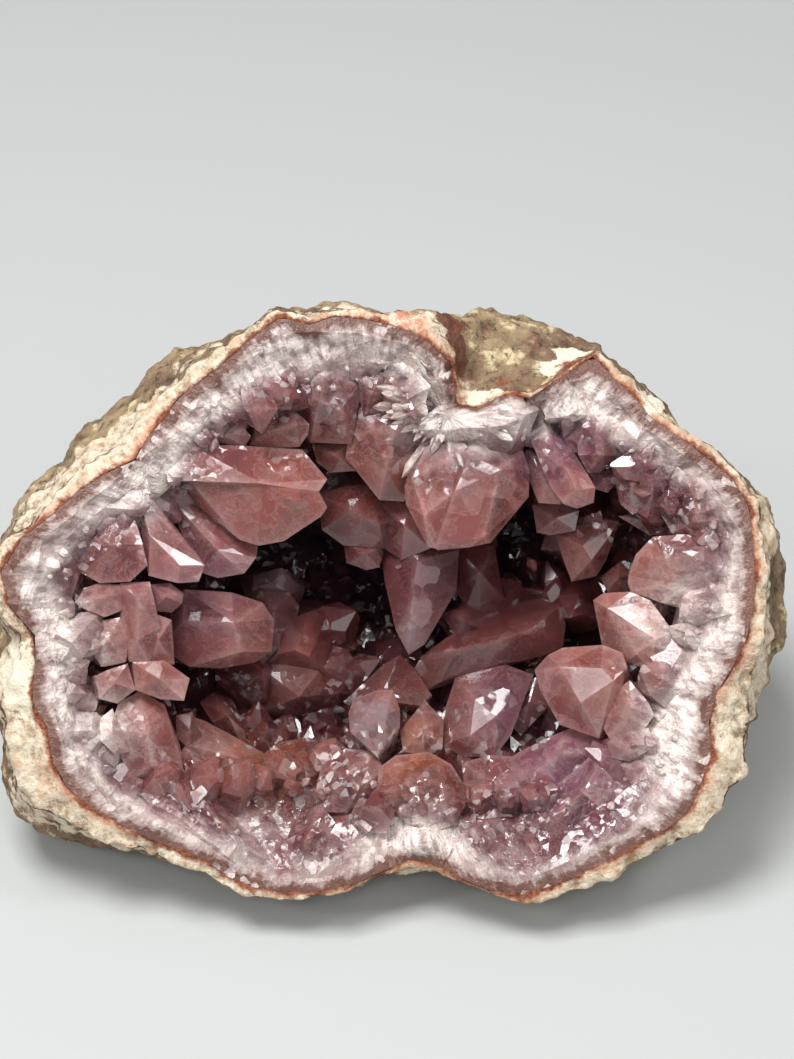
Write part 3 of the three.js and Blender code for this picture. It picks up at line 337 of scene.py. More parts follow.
class GEODE_PG_stage(bpy.types.PropertyGroup):
    """The stage"""

    floor: colour_setting("Floor", "The floor", 178, 180, 179)
    room: colour_setting("Room", "The light from all round", 242, 244, 245)
    room_strength: FloatProperty(
        name="Room strength", description="Strength of the light from all round", min=0, default=0.3
    )
    window: power_setting("Window", 1.25)
    fill: power_setting("Fill", 0.4)
    glints: power_setting("Glints", 0.14)
    glint_front: power_setting("Front glint", 0.2)


# ---- Meshes ----
SEAM = 0.9  # the crust's outer face is drawn to the rind where it is nearer than this
BROKEN_FACING = 0.3  # least share of the broken face's normal that points out of the mouth
BROKEN_BOTTOM = -4  # w above which the broken face lies


def solid_of(node):
    """A welded copy of a solid from the frame."""
    bm = bmesh.new()
    bm.from_mesh(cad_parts[node].data)
    bmesh.ops.remove_doubles(bm, verts=bm.verts, dist=WELD)
    return bm


def tree_of(node):
    bm = solid_of(node)
    tree = BVHTree.FromBMesh(bm)
    bm.free()
    return tree


def tree_of_broken_face():
    """A search tree of the rind's faces that the broken mouth shows, along the quartz."""
    crust = tree_of("crystal_crust")
    bm = solid_of("rind")
    bm.normal_update()
    others = []
    for face in bm.faces:
        touches = min(crust.find_nearest(v.co)[3] for v in face.verts) < SEAM * MM
        faces_out = face.normal.dot(OUTWARDS) >= BROKEN_FACING
        if not (touches and faces_out and in_mouth(face.calc_center_median()).z >= BROKEN_BOTTOM):
            others.append(face)
    bmesh.ops.delete(bm, geom=others, context="FACES")
    tree = BVHTree.FromBMesh(bm)
    bm.free()
    return tree


def refine(bm, longest, is_hidden):
    """Halves the edges that are longer than longest, a few times over, but not in hidden faces."""
    hidden = bm.faces.layers.int.new("hidden")
    for face in bm.faces:
        face[hidden] = is_hidden(face)
    for _ in range(HALVINGS):
        edges = [e for e in bm.edges if e.calc_length() > longest]
        edges = [e for e in edges if not all(face[hidden] for face in e.link_faces)]
        bmesh.ops.subdivide_edges(bm, edges=edges, cuts=1)
        many_sided = [f for f in bm.faces if len(f.verts) > 3]
        bmesh.ops.triangulate(bm, faces=many_sided)
    bm.normal_update()


def place_in_scene(name, data):
    thing = bpy.data.objects.new(name, data)
    bpy.context.scene.collection.objects.link(thing)
    return thing


def finished_object(name, bm, material):
    """Makes an object of a bmesh."""
    mesh = bpy.data.meshes.new(name)
    bm.to_mesh(mesh)
    bm.free()
    mesh.materials.append(material)
    return place_in_scene(name, mesh)


def finished_piece(name, bm, material, stands_for=()):
    """Makes a piece of a bmesh, attaches it to the root body, and hides the solids that it stands for.
    """
    piece = finished_object(name, bm, material)
    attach(piece, "root")
    if stands_for:
        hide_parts(*stands_for)
    return piece


def carry(mesh, name, values, domain="POINT"):
    """Stores one number, or one vector, for each vertex or face."""
    values = np.asarray(values, np.float32)
    kind, field = ("FLOAT", "value") if values.ndim == 1 else ("FLOAT_VECTOR", "vector")
    mesh.attributes.new(name, kind, domain).data.foreach_set(field, values.ravel())


def positions(mesh):
    flat = np.empty(len(mesh.vertices) * 3)
    mesh.vertices.foreach_get("co", flat)
    return flat.reshape(-1, 3)


def mouth_places(points):
    """u, v and w in millimetres of many points, one in each row."""
    axes = np.array([RIGHT, UPWARDS, OUTWARDS])
    return (points - np.array(MOUTH_AT)) @ axes.T / MM


def gaps_to(tree, points):
    """How far each point is from a surface, in millimetres."""
    return np.array([tree.find_nearest(Vector(p))[3] / MM for p in points])


def ramp(values, low, high):
    """0 below low, 1 above high, and straight between them."""
    return np.clip((values - low) / (high - low), 0, 1)


def in_spots(places, spots):
    """How much each place is in the named spots: (u, v, w, radius) in millimetres."""
    amount = np.zeros(len(places))
    for u, v, w, radius in spots.values():
        away = ((places - (u, v, w)) ** 2).sum(1) / radius**2
        amount = np.maximum(amount, np.exp(-away))
    return amount


def lumps(point, sizes):
    """How far a surface stands out or dips at a point, in millimetres."""
    return sum(height * noise.noise(point / (size * MM)) for size, height in sizes)


# ---- Rind ----
ROCK_LUMPS = ((5.0, 0.35), (2.2, 0.36), (1.0, 0.26), (0.55, 0.16))  # size and height
RIDGE_SIZE = 3.2
RIDGE_HEIGHT = 0.2
RIDGE_SHAPE = (0.9, 2.1, 4, 0.9, 1.6)  # falloff, lacunarity, octaves, offset and gain
RIDGE_MIDDLE = 1.2
CALM_WITHIN = 1.2  # the rock's bumps fade where it is nearer to the quartz than this
DEEPEST_DIP = 0.5  # share of the gap to the quartz
BROKEN_TURN = (0.1, 0.6)  # how much the rock faces out of the mouth, from tan to chalk
BROKEN_RISE = (-4, -2)  # w, from tan to chalk
RUSTY_TURN = (-0.1, 0.2)  # how much it faces out of the mouth, from no rust to rust
RUSTY_RISE = (-7, -6)  # w, from no rust to rust

ROCK_SPOTS = {
    "salmon": {
        "top": (0.6, 13.9, -1.5, 2.2),
        "top_left": (-2.2, 14.5, -1, 1.6),
    },
    "maroon": {
        "top": (3.7, 14.2, -3.8, 1.3),
        "middle": (4.1, 12.8, -3, 1.2),
        "notch": (4.3, 11.2, -2.9, 1.2),
    },
    "cream": {
        "notch": (6, 9, -2.5, 1.3),
        "right_of_notch": (11, 10.7, -4.5, 1.3),
        "knob": (12, 12.4, -6, 1.5),
        "right": (17.5, 9, -2, 1.5),
        "far_left": (-25, -3, -3, 2.5),
        "left": (-24, -10, -1, 3),
    },
}


class RockFinish(Finish):
    """Tan rock, with a chalky broken face, stains, and a rusty line along the quartz."""

    def __init__(self, look):
        super().__init__("rock")
        self.look = look
        place = self.place()
        self.patches = self.noise(place, 7 * MM, 4)
        self.stains = self.noise(place, 2.2 * MM, 5, 0.65)
        self.specks = self.noise(place, 0.8 * MM, 5, 0.75)
        self.fine = self.noise(place, 0.25 * MM, 4, 0.7)
        self.relief = self.attribute("relief")
        gap = self.attribute("quartz_gap")
        self.ragged_gap = gap + (self.specks - 0.5) * 0.7 + (self.stains - 0.5) * 1.6

    def tan(self):
        """The weathered outside."""
        look = self.look
        return self.layered(
            look.dark_tan,
            (self.patches.rise(0.38, 0.62), look.light_tan),
            ((self.stains + self.relief * 0.2).rise(0.56, 0.66) * 0.8, look.cream),
            (self.stains.fall(0.36, 0.46) * 0.6, look.brown),
            (self.specks.rise(0.52, 0.7) * 0.5, look.light_grain),
            (self.specks.fall(0.36, 0.48) * 0.8, look.dark_grain),
            (self.relief.fall(-0.55, -0.05) * 0.6, look.dip),
        )

    def chalk(self):
        """The broken face."""
        look = self.look
        return self.layered(
            look.dark_chalk,
            (self.specks.rise(0.3, 0.7), look.light_chalk),
            (self.stains.rise(0.55, 0.66) * 0.5, look.peach),
            ((self.specks + self.relief * 0.3).fall(0.3, 0.46) * 0.6, look.umber),
            (self.ragged_gap.fall(0.5, 1.3) * self.patches.rise(0.42, 0.56) * 0.8, look.salmon),
        )

    def spotted(self, colour):
        """A colour with the named spots over it."""
        look = self.look
        ragged = (self.specks - 0.5) * 0.9 + (self.stains - 0.5) * 0.9
        salmon = self.mix(self.specks.rise(0.4, 0.7), look.salmon, look.light_chalk)
        maroon = self.mix(self.specks.rise(0.35, 0.6), look.dark_rust, look.brown)
        return self.layered(
            colour,
            ((self.attribute("salmon") + ragged).rise(0.4, 0.55), salmon),
            ((self.attribute("maroon") + ragged).rise(0.4, 0.5), maroon),
            ((self.attribute("cream") + ragged).rise(0.4, 0.5), look.light_chalk),
        )

    def built(self):
        look = self.look
        face = self.attribute("broken_face")
        chalky = face * 0.95 + (self.patches - 0.5) * 1.8 + (self.specks - 0.5) * 0.8
        colour = self.spotted(self.mix(chalky.rise(0.4, 0.6), self.tan(), self.chalk()))
        rust = self.mix(self.fine.rise(0.35, 0.65), look.dark_rust, look.light_rust)
        rusty = self.ragged_gap.fall(0.4, 0.8) * self.attribute("mouth")
        height = self.specks * 0.65 + self.fine * 0.35
        return self.done(self.surface({
            "Base Color": self.mix(rusty, colour, rust),
            "Roughness": 0.92,
            "Specular IOR Level": 0.25,
            "Normal": self.bump(height, 0.45 * MM),
        }))


def is_inside_hollow(point, normal):
    """Whether a point of the rind faces the hollow, where crystals hide it."""
    place = in_mouth(point)
    inwards = HOLLOW_MIDDLE - place
    facing = normal.dot(RIGHT) * inwards.x + normal.dot(UPWARDS) * inwards.y
    facing += normal.dot(OUTWARDS) * inwards.z
    return place.z < HOLLOW_TOP and facing > 0


def roughen_rock(bm, crust):
    """Gives the rock its bumps and dips, inside the solid's box and clear of the quartz."""
    low, high = CAD_BOX
    relief = bm.verts.layers.float.new("relief")
    for vertex in bm.verts:
        if is_inside_hollow(vertex.co, vertex.normal):
            continue
        gap = crust.find_nearest(vertex.co)[3] / MM
        ridges = noise.ridged_multi_fractal(vertex.co / (RIDGE_SIZE * MM), *RIDGE_SHAPE)
        rise = lumps(vertex.co, ROCK_LUMPS) + RIDGE_HEIGHT * (ridges - RIDGE_MIDDLE)
        vertex[relief] = rise
        rise = max(rise * min(1, gap / CALM_WITHIN), -DEEPEST_DIP * gap)
        moved = vertex.co + vertex.normal * rise * MM
        vertex.co = [min(max(c, a), b) for c, a, b in zip(moved, low, high)]


def carry_rock(mesh, crust):
    """Stores what the rock's finish needs."""
    points = positions(mesh)
    places = mouth_places(points)
    forwards = np.array([v.normal for v in mesh.vertices]) @ np.array(OUTWARDS)
    carry(mesh, "quartz_gap", gaps_to(crust, points))
    carry(mesh, "broken_face", ramp(forwards, *BROKEN_TURN) * ramp(places[:, 2], *BROKEN_RISE))
    carry(mesh, "mouth", ramp(forwards, *RUSTY_TURN) * ramp(places[:, 2], *RUSTY_RISE))
    for name, spots in ROCK_SPOTS.items():
        carry(mesh, name, in_spots(places, spots))


def make_rind(look):
    crust = tree_of("crystal_crust")
    bm = solid_of("rind")
    bm.normal_update()
    refine(bm, look.edge, lambda face: is_inside_hollow(face.calc_center_median(), face.normal))
    roughen_rock(bm, crust)
    piece = finished_piece("rind_rock", bm, RockFinish(look).built(), ["rind"])
    carry_rock(piece.data, crust)
    piece.data.shade_smooth()
    return piece


# ---- Crystal crust ----
FLAT_WITHIN = math.radians(1.5)  # faces that meet flatter than this are one crystal face
CRISP = math.radians(22)  # edges sharper than this get a painted highlight
EDGE_STEP = 0.15
SUNK_SEAM = 0.02  # how far the crust's outer face is sunk in the rind
AGAINST_RIND = -0.5  # a face lies on the rind where their normals' product is below this
FACET_SEED = 3
QUARTZ_IOR = 1.544
BAND_START = 0.4
BAND_REACH = 5
BAND_DEPTH = 8
BAND_LUMPS = ((2.4, 0.8), (1.1, 0.45), (0.6, 0.2))  # size and height
BAND_WIDTH = (  # how wide the white quartz is, by the angle round the mouth in degrees
    (0, 2.3), (15, 1.7), (30, 2.0), (45, 2.8), (55, 3.4), (65, 2.2), (90, 2.4), (120, 3.0),
    (150, 3.2), (180, 3.0), (200, 2.3), (215, 2.2), (235, 1.8), (250, 1.2), (262, 1.5),
    (272, 2.6), (285, 2.0), (296, 1.3), (305, 1.2), (316, 1.2), (328, 2.8), (342, 4.0),
    (352, 2.8),
)
BURST_AT = (3.5, 7.6)  # u and v of the point that white fibres fan out from
BURST_REACH = 5.5
BURST_FIBRES = 4  # more makes them finer

GLASSY = {  # clear crystal
    "Transmission Weight": 0.55,
    "Coat Weight": 0.6,
    "Subsurface Weight": 0.3,
    "Subsurface Radius": (1.0, 0.4, 0.35),
    "Subsurface Scale": 1.2 * MM,
}
MILKY = {  # white quartz
    "Subsurface Weight": 0.18,
    "Subsurface Radius": (1.0, 0.8, 0.8),
    "Subsurface Scale": 0.9 * MM,
}

CRYSTAL_SPOTS = {
    "orange": {
        "orange_block": (1.2, -14.5, -3, 3.6),
        "right": (14, -12, -6, 3),
        "low": (-9, -15, -5, 4),
    },
    "violet": {
        "top_right": (10.5, 6, -3, 3.5),
        "left": (-14, -4, -4, 4),
        "low_right": (11.5, -16, -3, 3.5),
        "column": (2.6, -3, -4, 3.4),
        "right_of_column": (7.5, -11.5, -4, 3.4),
    },
    # spots that get a painted silver sheen
    "silver": {
        "silver_block": (-1.6, -13.2, -3, 1.9),
        "column_foot": (1, -7.5, -5, 1.2),
        "behind_left": (-9, -1.5, -9, 2.5),
    },
    "frost": {
        "burst": (3.2, 7.4, -2, 2.6),
        "burst_right": (7.4, 7.2, -2, 1.6),
        "top_right": (12.6, 9.4, -2, 2),
        "left_root": (-17, 3.2, -1, 2.4),
        "left_lump": (-22, -7.5, -1, 2.6),
        "low_left": (-20, -13, -1.5, 2.4),
        "low_middle": (1.5, -21.5, -1, 2.3),
        "low_right": (18.5, -13.5, -1.5, 2.6),
        "right": (19.5, -6, -1.5, 3.2),
    },
}


class CrystalFinish(Finish):
    """Pink amethyst, which pales to white, fibrous quartz inside the rim of the mouth."""

    def __init__(self, look):
        super().__init__("amethyst")
        self.look = look
        place = self.place()
        warped = self.warped(place, 1.4 * MM, 1.2 * MM)
        along = self.stretched(self.place("growth"), (1, 0.25, 0.5))
        self.clouds = self.noise(place, 3.5 * MM, 2)
        self.veils = self.noise(warped, 1.3 * MM, 4, 0.62)
        self.grit = self.noise(place, 0.22 * MM, 2, 0.6)
        self.streaks = self.noise(along, 0.5, 3, 0.6)
        self.slabs = self.splinters(warped, 1.9 * MM)
        self.shade = self.red_of(self.slabs)
        self.chips = self.splinters(place, 0.5 * MM)
        self.gap = self.attribute("rock_gap")
        self.rim_gap = self.attribute("rim_gap")
        self.band_width = self.attribute("band_width")
        self.facet = self.attribute("facet")
        self.clear = self.attribute("clear")
        self.silver = self.attribute("silver")
        self.frost = self.attribute("frost")
        self.sparkle = self.noise(place, 2.6 * MM, 1).rise(0.5, 0.6) * self.gap.fall(5, 8) + self.silver

    def pink(self):
        """From root to tip, with a painted highlight along the edges, a painted silver sheen, and
        painted shade that darkens it inside the hollow.
        """
        look = self.look
        depth = self.attribute("depth")
        # edge: where a painted highlight runs along the crystals' sharp edges
        edge = self.attribute("edge_gap").fall(0.05, 0.5)
        tips = (self.gap + (self.clouds - 0.5) * 3).rise(2.5, 7.5)
        veins = self.veils.rise(0.46, 0.5) * self.veils.fall(0.5, 0.54)
        return self.layered(
            look.dark_root,
            (self.clouds.rise(0.35, 0.65), look.light_root),
            (tips * (0.55 + self.clouds * 0.6), look.tip),
            ((self.attribute("orange") * 0.9).clamped(), look.orange),
            ((self.attribute("violet") * 0.8).clamped(), look.violet),
            (self.veils.rise(0.5, 0.7) * 0.38, look.veil),
            (self.grit.fall(0.3, 0.5) * 0.25, look.grit),
            (self.shade * 0.3 + self.facet.fall(0, 0.5) * 0.4, look.shadow),
            (self.facet.rise(0.7, 1) * 0.22, look.gleam),
            # painted highlight along the edges, with the veins
            (edge * 0.2 + veins * 0.25, look.vein_and_edge_highlight),
            (self.clear * 0.55, look.clear),
            # painted shade: darker with depth inside the hollow, and darkest at its bottom
            (depth.rise(2.5, 8) * 0.85, look.deep),
            # painted silver sheen, lighter on some splinters
            (self.silver * (0.4 + self.shade * 0.4), look.silver),
            (depth.rise(9, 17) * 0.75, look.deepest_painted_shade),
        )

    def whiteness(self):
        """How white a place is: in the band inside the rim, and in the frosted spots."""
        wavy = (self.veils - 0.5) * 2.5 + (self.streaks - 0.5) * 1.5 + (self.clouds - 0.5) * 1.5
        band = (self.rim_gap + wavy - self.band_width).fall(-0.9, 0.7)
        white = self.frost + band * self.gap.fall(2.6, 4.5)
        return (white * (0.7 + self.veils.rise(0.35, 0.6) * 0.3) * (1 - self.clear * 0.5)).clamped()

    def colour(self, white):
        """Pink, then white quartz, its dark rim, and a painted glint on small chips."""
        look = self.look
        quartz = self.mix(self.streaks.rise(0.35, 0.6), look.dark_quartz, look.light_quartz)
        ragged = (self.streaks - 0.5) * 1.1
        rim = self.rim_gap + ragged + (self.veils - 0.5) * 1.4 + (self.clouds - 0.5) * 1.6
        # painted glint: white flecks on small chips in the sparkling patches
        painted_glint_share = self.red_of(self.chips).rise(0.86, 0.88) * self.sparkle * (0.3 + self.veils).clamped()
        return self.layered(
            self.pink(),
            (white * 0.95, quartz),
            (rim.fall(0.7, 1.6) * 0.7, look.light_rim),
            (rim.fall(0.4, 0.75) * 0.9, look.dark_rim),
            (painted_glint_share * 0.7, look.painted_glint),
        )

    def normal(self, white):
        """Flat facets inside the crystals, and sugary bumps on the white quartz."""
        normal = self.node("ShaderNodeNewGeometry").outputs["Normal"]
        normal = self.tilted(normal, self.slabs, 0.3 * (1 - white * 0.85))
        normal = self.tilted(normal, self.chips, self.sparkle * 0.7)
        coarse = (self.rim_gap - self.band_width).fall(-0.5, 1) + self.frost
        return self.bump((self.grit + self.streaks * 0.7) * coarse, 0.12 * MM, normal)

    def built(self):
        white = self.whiteness()
        sockets = {
            "Base Color": self.colour(white),
            "Roughness": 0.04 + self.facet * 0.1 + white * 0.3 + self.veils * 0.08,
            "IOR": QUARTZ_IOR,
            "Normal": self.normal(white),
        }
        glassy = self.surface(sockets | GLASSY)
        milky = self.surface(sockets | MILKY)
        shader = self.node("ShaderNodeMixShader", None, {0: white, 1: glassy, 2: milky})
        return self.done(shader.outputs[0])


def growth_of(places, around, gap):
    """Where each point is in the growth of the crust: round the mouth, from the rock, and w.

    Near the burst it is round the burst and away from it instead.
    """
    growth = np.column_stack((MOUTH_REACH * around, gap, places[:, 2]))
    arm = places[:, :2] - BURST_AT
    reach = np.hypot(*arm.T)
    turns = BURST_FIBRES * np.arctan2(arm[:, 1], arm[:, 0])
    burst = np.column_stack((turns, reach, places[:, 2]))
    return np.where((reach < BURST_REACH)[:, None], burst, growth)


def carry_growth(mesh, rind, ahead=0, frosted=0):
    """Stores what the crystals' finish needs.

    ahead adds to each point's distance from the rock, as if it had grown longer.
    """
    points = positions(mesh)
    places = mouth_places(points)
    gap = gaps_to(rind, points) + ahead
    around = np.arctan2(places[:, 1] - MOUTH_MIDDLE.y, places[:, 0] - MOUTH_MIDDLE.x)
    angles, widths = zip(*BAND_WIDTH)
    carry(mesh, "rim_gap", gaps_to(tree_of_broken_face(), points))
    carry(mesh, "band_width", np.interp(np.degrees(around), angles, widths, period=360))
    carry(mesh, "rock_gap", gap)
    carry(mesh, "depth", -places[:, 2])
    carry(mesh, "growth", growth_of(places, around, gap))
    for name, spots in CRYSTAL_SPOTS.items():
        least = frosted if name == "frost" else 0
        carry(mesh, name, np.maximum(in_spots(places, spots), least))


def edge_line(bm):
    """A search tree of points along the edges that stand out."""
    points = []
    for edge in bm.edges:
        if edge.calc_face_angle_signed(0) > CRISP:
            start, end = [v.co for v in edge.verts]
            steps = math.ceil((end - start).length / (EDGE_STEP * MM))
            points += [start.lerp(end, step / steps) for step in range(steps + 1)]
    tree = KDTree(len(points))
    for n, point in enumerate(points):
        tree.insert(point, n)
    tree.balance()
    return tree


def draw_facets(bm, draw):
    """Gives each face a random number, which its triangles keep."""
    facet = bm.faces.layers.float.new("facet")
    for face in bm.faces:
        face[facet] = draw.random()
    bmesh.ops.triangulate(bm, faces=bm.faces)
    return facet


def close_seam(bm, rind):
    """Draws the crust's outer face to the rind, so that no gap shows."""
    for vertex in bm.verts:
        nearest, normal, _, gap = rind.find_nearest(vertex.co)
        if gap < SEAM * MM and vertex.normal.dot(nearest - vertex.co) > 0:
            vertex.co = nearest - normal * SUNK_SEAM * MM


def roughen_band(bm, rind):
    """Gives the massive quartz inside the rim its lumps."""
    bm.normal_update()
    for vertex in bm.verts:
        gap = rind.find_nearest(vertex.co)[3] / MM
        depth = -in_mouth(vertex.co).z
        share = min(1, max(0, gap - BAND_START))
        share = share * max(0, 1 - gap / BAND_REACH) * max(0, 1 - depth / BAND_DEPTH)
        if share > 0:
            vertex.co += vertex.normal * lumps(vertex.co, BAND_LUMPS) * share * MM


def make_crust(look):
    rind = tree_of("rind")
    bm = solid_of("crystal_crust")
    bmesh.ops.dissolve_limit(bm, angle_limit=FLAT_WITHIN, verts=bm.verts, edges=bm.edges)
    draw_facets(bm, random.Random(FACET_SEED))
    bm.normal_update()
    edges = edge_line(bm)
    for edge in bm.edges:
        edge.smooth = edge.calc_face_angle(0) < FLAT_WITHIN

    def lies_on_rind(face):
        _, normal, _, gap = rind.find_nearest(face.calc_center_median())
        return gap < SEAM * MM and face.normal.dot(normal) < AGAINST_RIND

    refine(bm, look.edge, lies_on_rind)
    close_seam(bm, rind)
    roughen_band(bm, rind)
    piece = finished_piece("crystals", bm, CrystalFinish(look).built(), ["crystal_crust"])
    carry_growth(piece.data, rind)
    carry(piece.data, "edge_gap", [edges.find(v.co)[2] / MM for v in piece.data.vertices])
    return piece


# ---- Small crystals ----
WIDEST_FACE = 12  # how far a face's corners can be from its middle
RIM_DEPTH = -1.5  # w below which nothing may come out of the rock
TOWARDS = Vector((*MOUTH_MIDDLE, -4))  # crystals lean this way
LEAN = 0.5
FAN_LEAN = 1.5  # how much a fan's crystals lean away from its centre
FAN_OUTWARDS = 0.4  # and how much they lean out of the mouth
FLATNESS = (0.7, 1.1)  # thickness over width
EDGE_GLOW = 0.4  # their gap to an edge, for the painted edge highlight in the finish
FORMS = 10  # different shapes of crystal
FORM_SIDES = 6
FORM_FOOT = 0.5  # radius
FORM_SHOULDER = 0.42  # radius where the point starts
FORM_PRISM = 0.7  # height where the point starts
FORM_MIDDLE = Vector((0, 0, 0.5))
FORM_CUTS = 4
FORM_CUT_AT = (0.72, 0.92)  # share of the way from the middle to the surface


@dataclass
class Growth:
    """One generation of crystals that stand on the crust. Pairs are the least and the most."""

    name: str
    seed: int
    width: tuple
    stoutness: tuple  # length over width
    from_rock: tuple
    from_rim: tuple
    depth: tuple  # below the mouth
    sway: float  # how much they lean at random
    sunk: float = 0.5  # share of the length that is in the crust
    ahead: float = 1.0  # how much further from the rock their points look
    clear: float = 0.0
    frost: float = 0.0
    fan: tuple = None  # u, v, w and reach: they fan out from there

    def centre(self):
        return Vector(self.fan[:3]) if self.fan else Vector((0, 0, 0))

    def reach(self):
        """How far from the centre they stand, in millimetres."""
        return self.fan[3] if self.fan else math.inf


GENERATIONS = {  # by the setting that says how many there are
    "filling": Growth(
        name="filling_crystals",
        seed=5,
        width=(1.2, 3.8),
        stoutness=(0.9, 1.7),
        from_rock=(0.8, 3.4),
        from_rim=(2.8, 30),
        depth=(1, 21),
        sway=0.6,
        clear=0.3,
    ),
    "deep": Growth(
        name="deep_crystals",
        seed=8,
        width=(2, 4.6),
        stoutness=(0.9, 1.5),
        from_rock=(0.8, 9),
        from_rim=(6, 30),
        depth=(8, 20),
        sway=0.5,
        clear=0.3,
    ),
    "sugar": Growth(
        name="sugar_crystals",
        seed=11,
        width=(0.3, 1.1),
        stoutness=(0.8, 1.5),
        from_rock=(1.5, 3.6),
        from_rim=(2.2, 5),
        depth=(-1, 7),
        sway=0.8,
        ahead=0.3,
        frost=0.5,
    ),
    "burst": Growth(
        name="burst_crystals",
        seed=21,
        width=(0.35, 1.1),
        stoutness=(2, 3.6),
        from_rock=(0.2, 5),
        from_rim=(0.8, 5),
        depth=(-3, 6),
        sway=0.3,
        sunk=0.4,
        ahead=0.3,
        frost=0.75,
        fan=(3.6, 8.4, -3, 4.4),
    ),
}


def hull_of(points):
    """A new bmesh that wraps the points."""
    bm = bmesh.new()
    for point in points:
        bm.verts.new(point)
    hull = bmesh.ops.convex_hull(bm, input=bm.verts)
    loose = {part for part in hull["geom_interior"] if isinstance(part, bmesh.types.BMVert)}
    bmesh.ops.delete(bm, geom=list(loose), context="VERTS")
    return bm


def pointed_prism(draw):
    """A six-sided crystal, one unit wide and long, on the origin."""
    bm = bmesh.new()
    bmesh.ops.create_cone(
        bm,
        cap_ends=True,
        segments=FORM_SIDES,
        radius1=FORM_FOOT,
        radius2=FORM_SHOULDER,
        depth=FORM_PRISM,
    )
    bmesh.ops.translate(bm, verts=bm.verts, vec=(0, 0, FORM_PRISM / 2))
    points = [v.co.copy() for v in bm.verts]
    points.append(Vector((draw.uniform(-0.2, 0.2), draw.uniform(-0.1, 0.1), 1)))
    bm.free()
    return hull_of(points)


def cut_at_random(bm, draw):
    """Breaks a corner off a crystal."""
    slant = Vector((draw.uniform(-1, 1), draw.uniform(-1, 1), draw.uniform(-0.2, 1.2))).normalized()
    reach = max((v.co - FORM_MIDDLE).dot(slant) for v in bm.verts)
    on_plane = FORM_MIDDLE + slant * reach * draw.uniform(*FORM_CUT_AT)
    parts = bm.verts[:] + bm.edges[:] + bm.faces[:]
    bmesh.ops.bisect_plane(bm, geom=parts, plane_co=on_plane, plane_no=slant, clear_outer=True)
    points = [v.co.copy() for v in bm.verts]
    bm.free()
    return hull_of(points)


def crystal_form(draw):
    """Corners, triangles and facets of a broken crystal, one unit wide and long."""
    bm = pointed_prism(draw)
    for _ in range(FORM_CUTS):
        bm = cut_at_random(bm, draw)
    bmesh.ops.dissolve_limit(bm, angle_limit=FLAT_WITHIN, verts=bm.verts, edges=bm.edges)
    bmesh.ops.recalc_face_normals(bm, faces=bm.faces)
    bm.verts.index_update()
    facet = draw_facets(bm, draw)
    corners = np.array([v.co for v in bm.verts])
    triangles = np.array([[v.index for v in face.verts] for face in bm.faces])
    facets = np.array([face[facet] for face in bm.faces])
    bm.free()
    return corners, triangles, facets


def random_point(face, draw):
    """A random point of a triangle."""
    a, b = draw.random(), draw.random()
    if a + b > 1:
        a, b = 1 - a, 1 - b
    first, second, third = [v.co for v in face.verts]
    return first + a * (second - first) + b * (third - first)


def can_root(growth, rind, rim, point, normal):
    """Whether a generation's crystals may stand at a point of the crust."""
    place = in_mouth(point)
    rock, _, _, gap = rind.find_nearest(point)
    near, far = growth.from_rock
    shallow, deep = growth.depth
    inner, outer = growth.from_rim
    if normal.dot(rock - point) > 0 or not shallow < -place.z < deep:
        return False
    if (place - growth.centre()).length > growth.reach():
        return False
    return near < gap / MM < far and inner < rim.find_nearest(point)[3] / MM < outer


def rooting_places(growth, bm, rind, rim, draw):
    """Random points where a generation's crystals can stand, with the surface's normals."""
    centre = growth.centre()
    widest = growth.reach() + WIDEST_FACE
    faces = [f for f in bm.faces if (in_mouth(f.calc_center_median()) - centre).length < widest]
    areas = list(itertools.accumulate(face.calc_area() for face in faces))
    while True:
        face = draw.choices(faces, cum_weights=areas)[0]
        point = random_point(face, draw)
        if can_root(growth, rind, rim, point, face.normal):
            yield point, face.normal.copy()


def sticks_out(rind, corners):
    """Whether a corner comes out of the back of the rind."""
    for corner in map(Vector, corners):
        nearest, normal, _, _ = rind.find_nearest(corner)
        is_beyond = (corner - nearest).dot(normal) > 0 and in_mouth(nearest).z < RIM_DEPTH
        if is_beyond and not is_inside_hollow(nearest, normal):
            return True
    return False


def one_crystal(growth, draw, point, normal):
    """The turn and size of a crystal, as a matrix, and where its foot is sunk."""
    low, high = growth.width
    width = low + draw.random() ** 2 * (high - low)
    length = width * draw.uniform(*growth.stoutness)
    sway = Vector([draw.uniform(-1, 1) for _ in range(3)])
    if growth.fan:
        aim = (point - from_mouth(growth.centre())).normalized() * FAN_LEAN + OUTWARDS * FAN_OUTWARDS
    else:
        aim = (from_mouth(TOWARDS) - point).normalized() * LEAN + normal
    axis = (aim + growth.sway * sway).normalized()
    turn = axis.to_track_quat("Z", "Y").to_matrix()
    turn = turn @ Matrix.Rotation(draw.uniform(0, math.tau), 3, "Z")
    size = np.diag((width, width * draw.uniform(*FLATNESS), length))
    return np.array(turn) @ size * MM, np.array(point - axis * growth.sunk * length * MM)


def grown(growth, count, rind):
    """Corners, triangles, facets and added lengths of a generation's crystals, joined."""
    crust = solid_of("crystal_crust")
    crust.normal_update()
    draw = random.Random(growth.seed)
    forms = [crystal_form(draw) for _ in range(FORMS)]
    places = rooting_places(growth, crust, rind, tree_of_broken_face(), draw)
    points, faces, facets, ahead = [], [], [], []
    made = 0
    while len(points) < count:
        shape, foot = one_crystal(growth, draw, *next(places))
        corners, triangles, form_facets = draw.choice(forms)
        placed = corners @ shape.T + foot
        if sticks_out(rind, placed):
            continue
        points.append(placed)
        faces.append(triangles + made)
        facets.append((form_facets + draw.random()) % 1)
        ahead.append(corners[:, 2] * growth.ahead)
        made += len(corners)
    crust.free()
    return [np.concatenate(parts) for parts in (points, faces, facets, ahead)]


def bmesh_of(corners, triangles):
    """A new bmesh with these corners and triangles."""
    mesh = bpy.data.meshes.new("grown")
    mesh.from_pydata(corners.tolist(), [], triangles.tolist())
    bm = bmesh.new()
    bm.from_mesh(mesh)
    bpy.data.meshes.remove(mesh)
    return bm


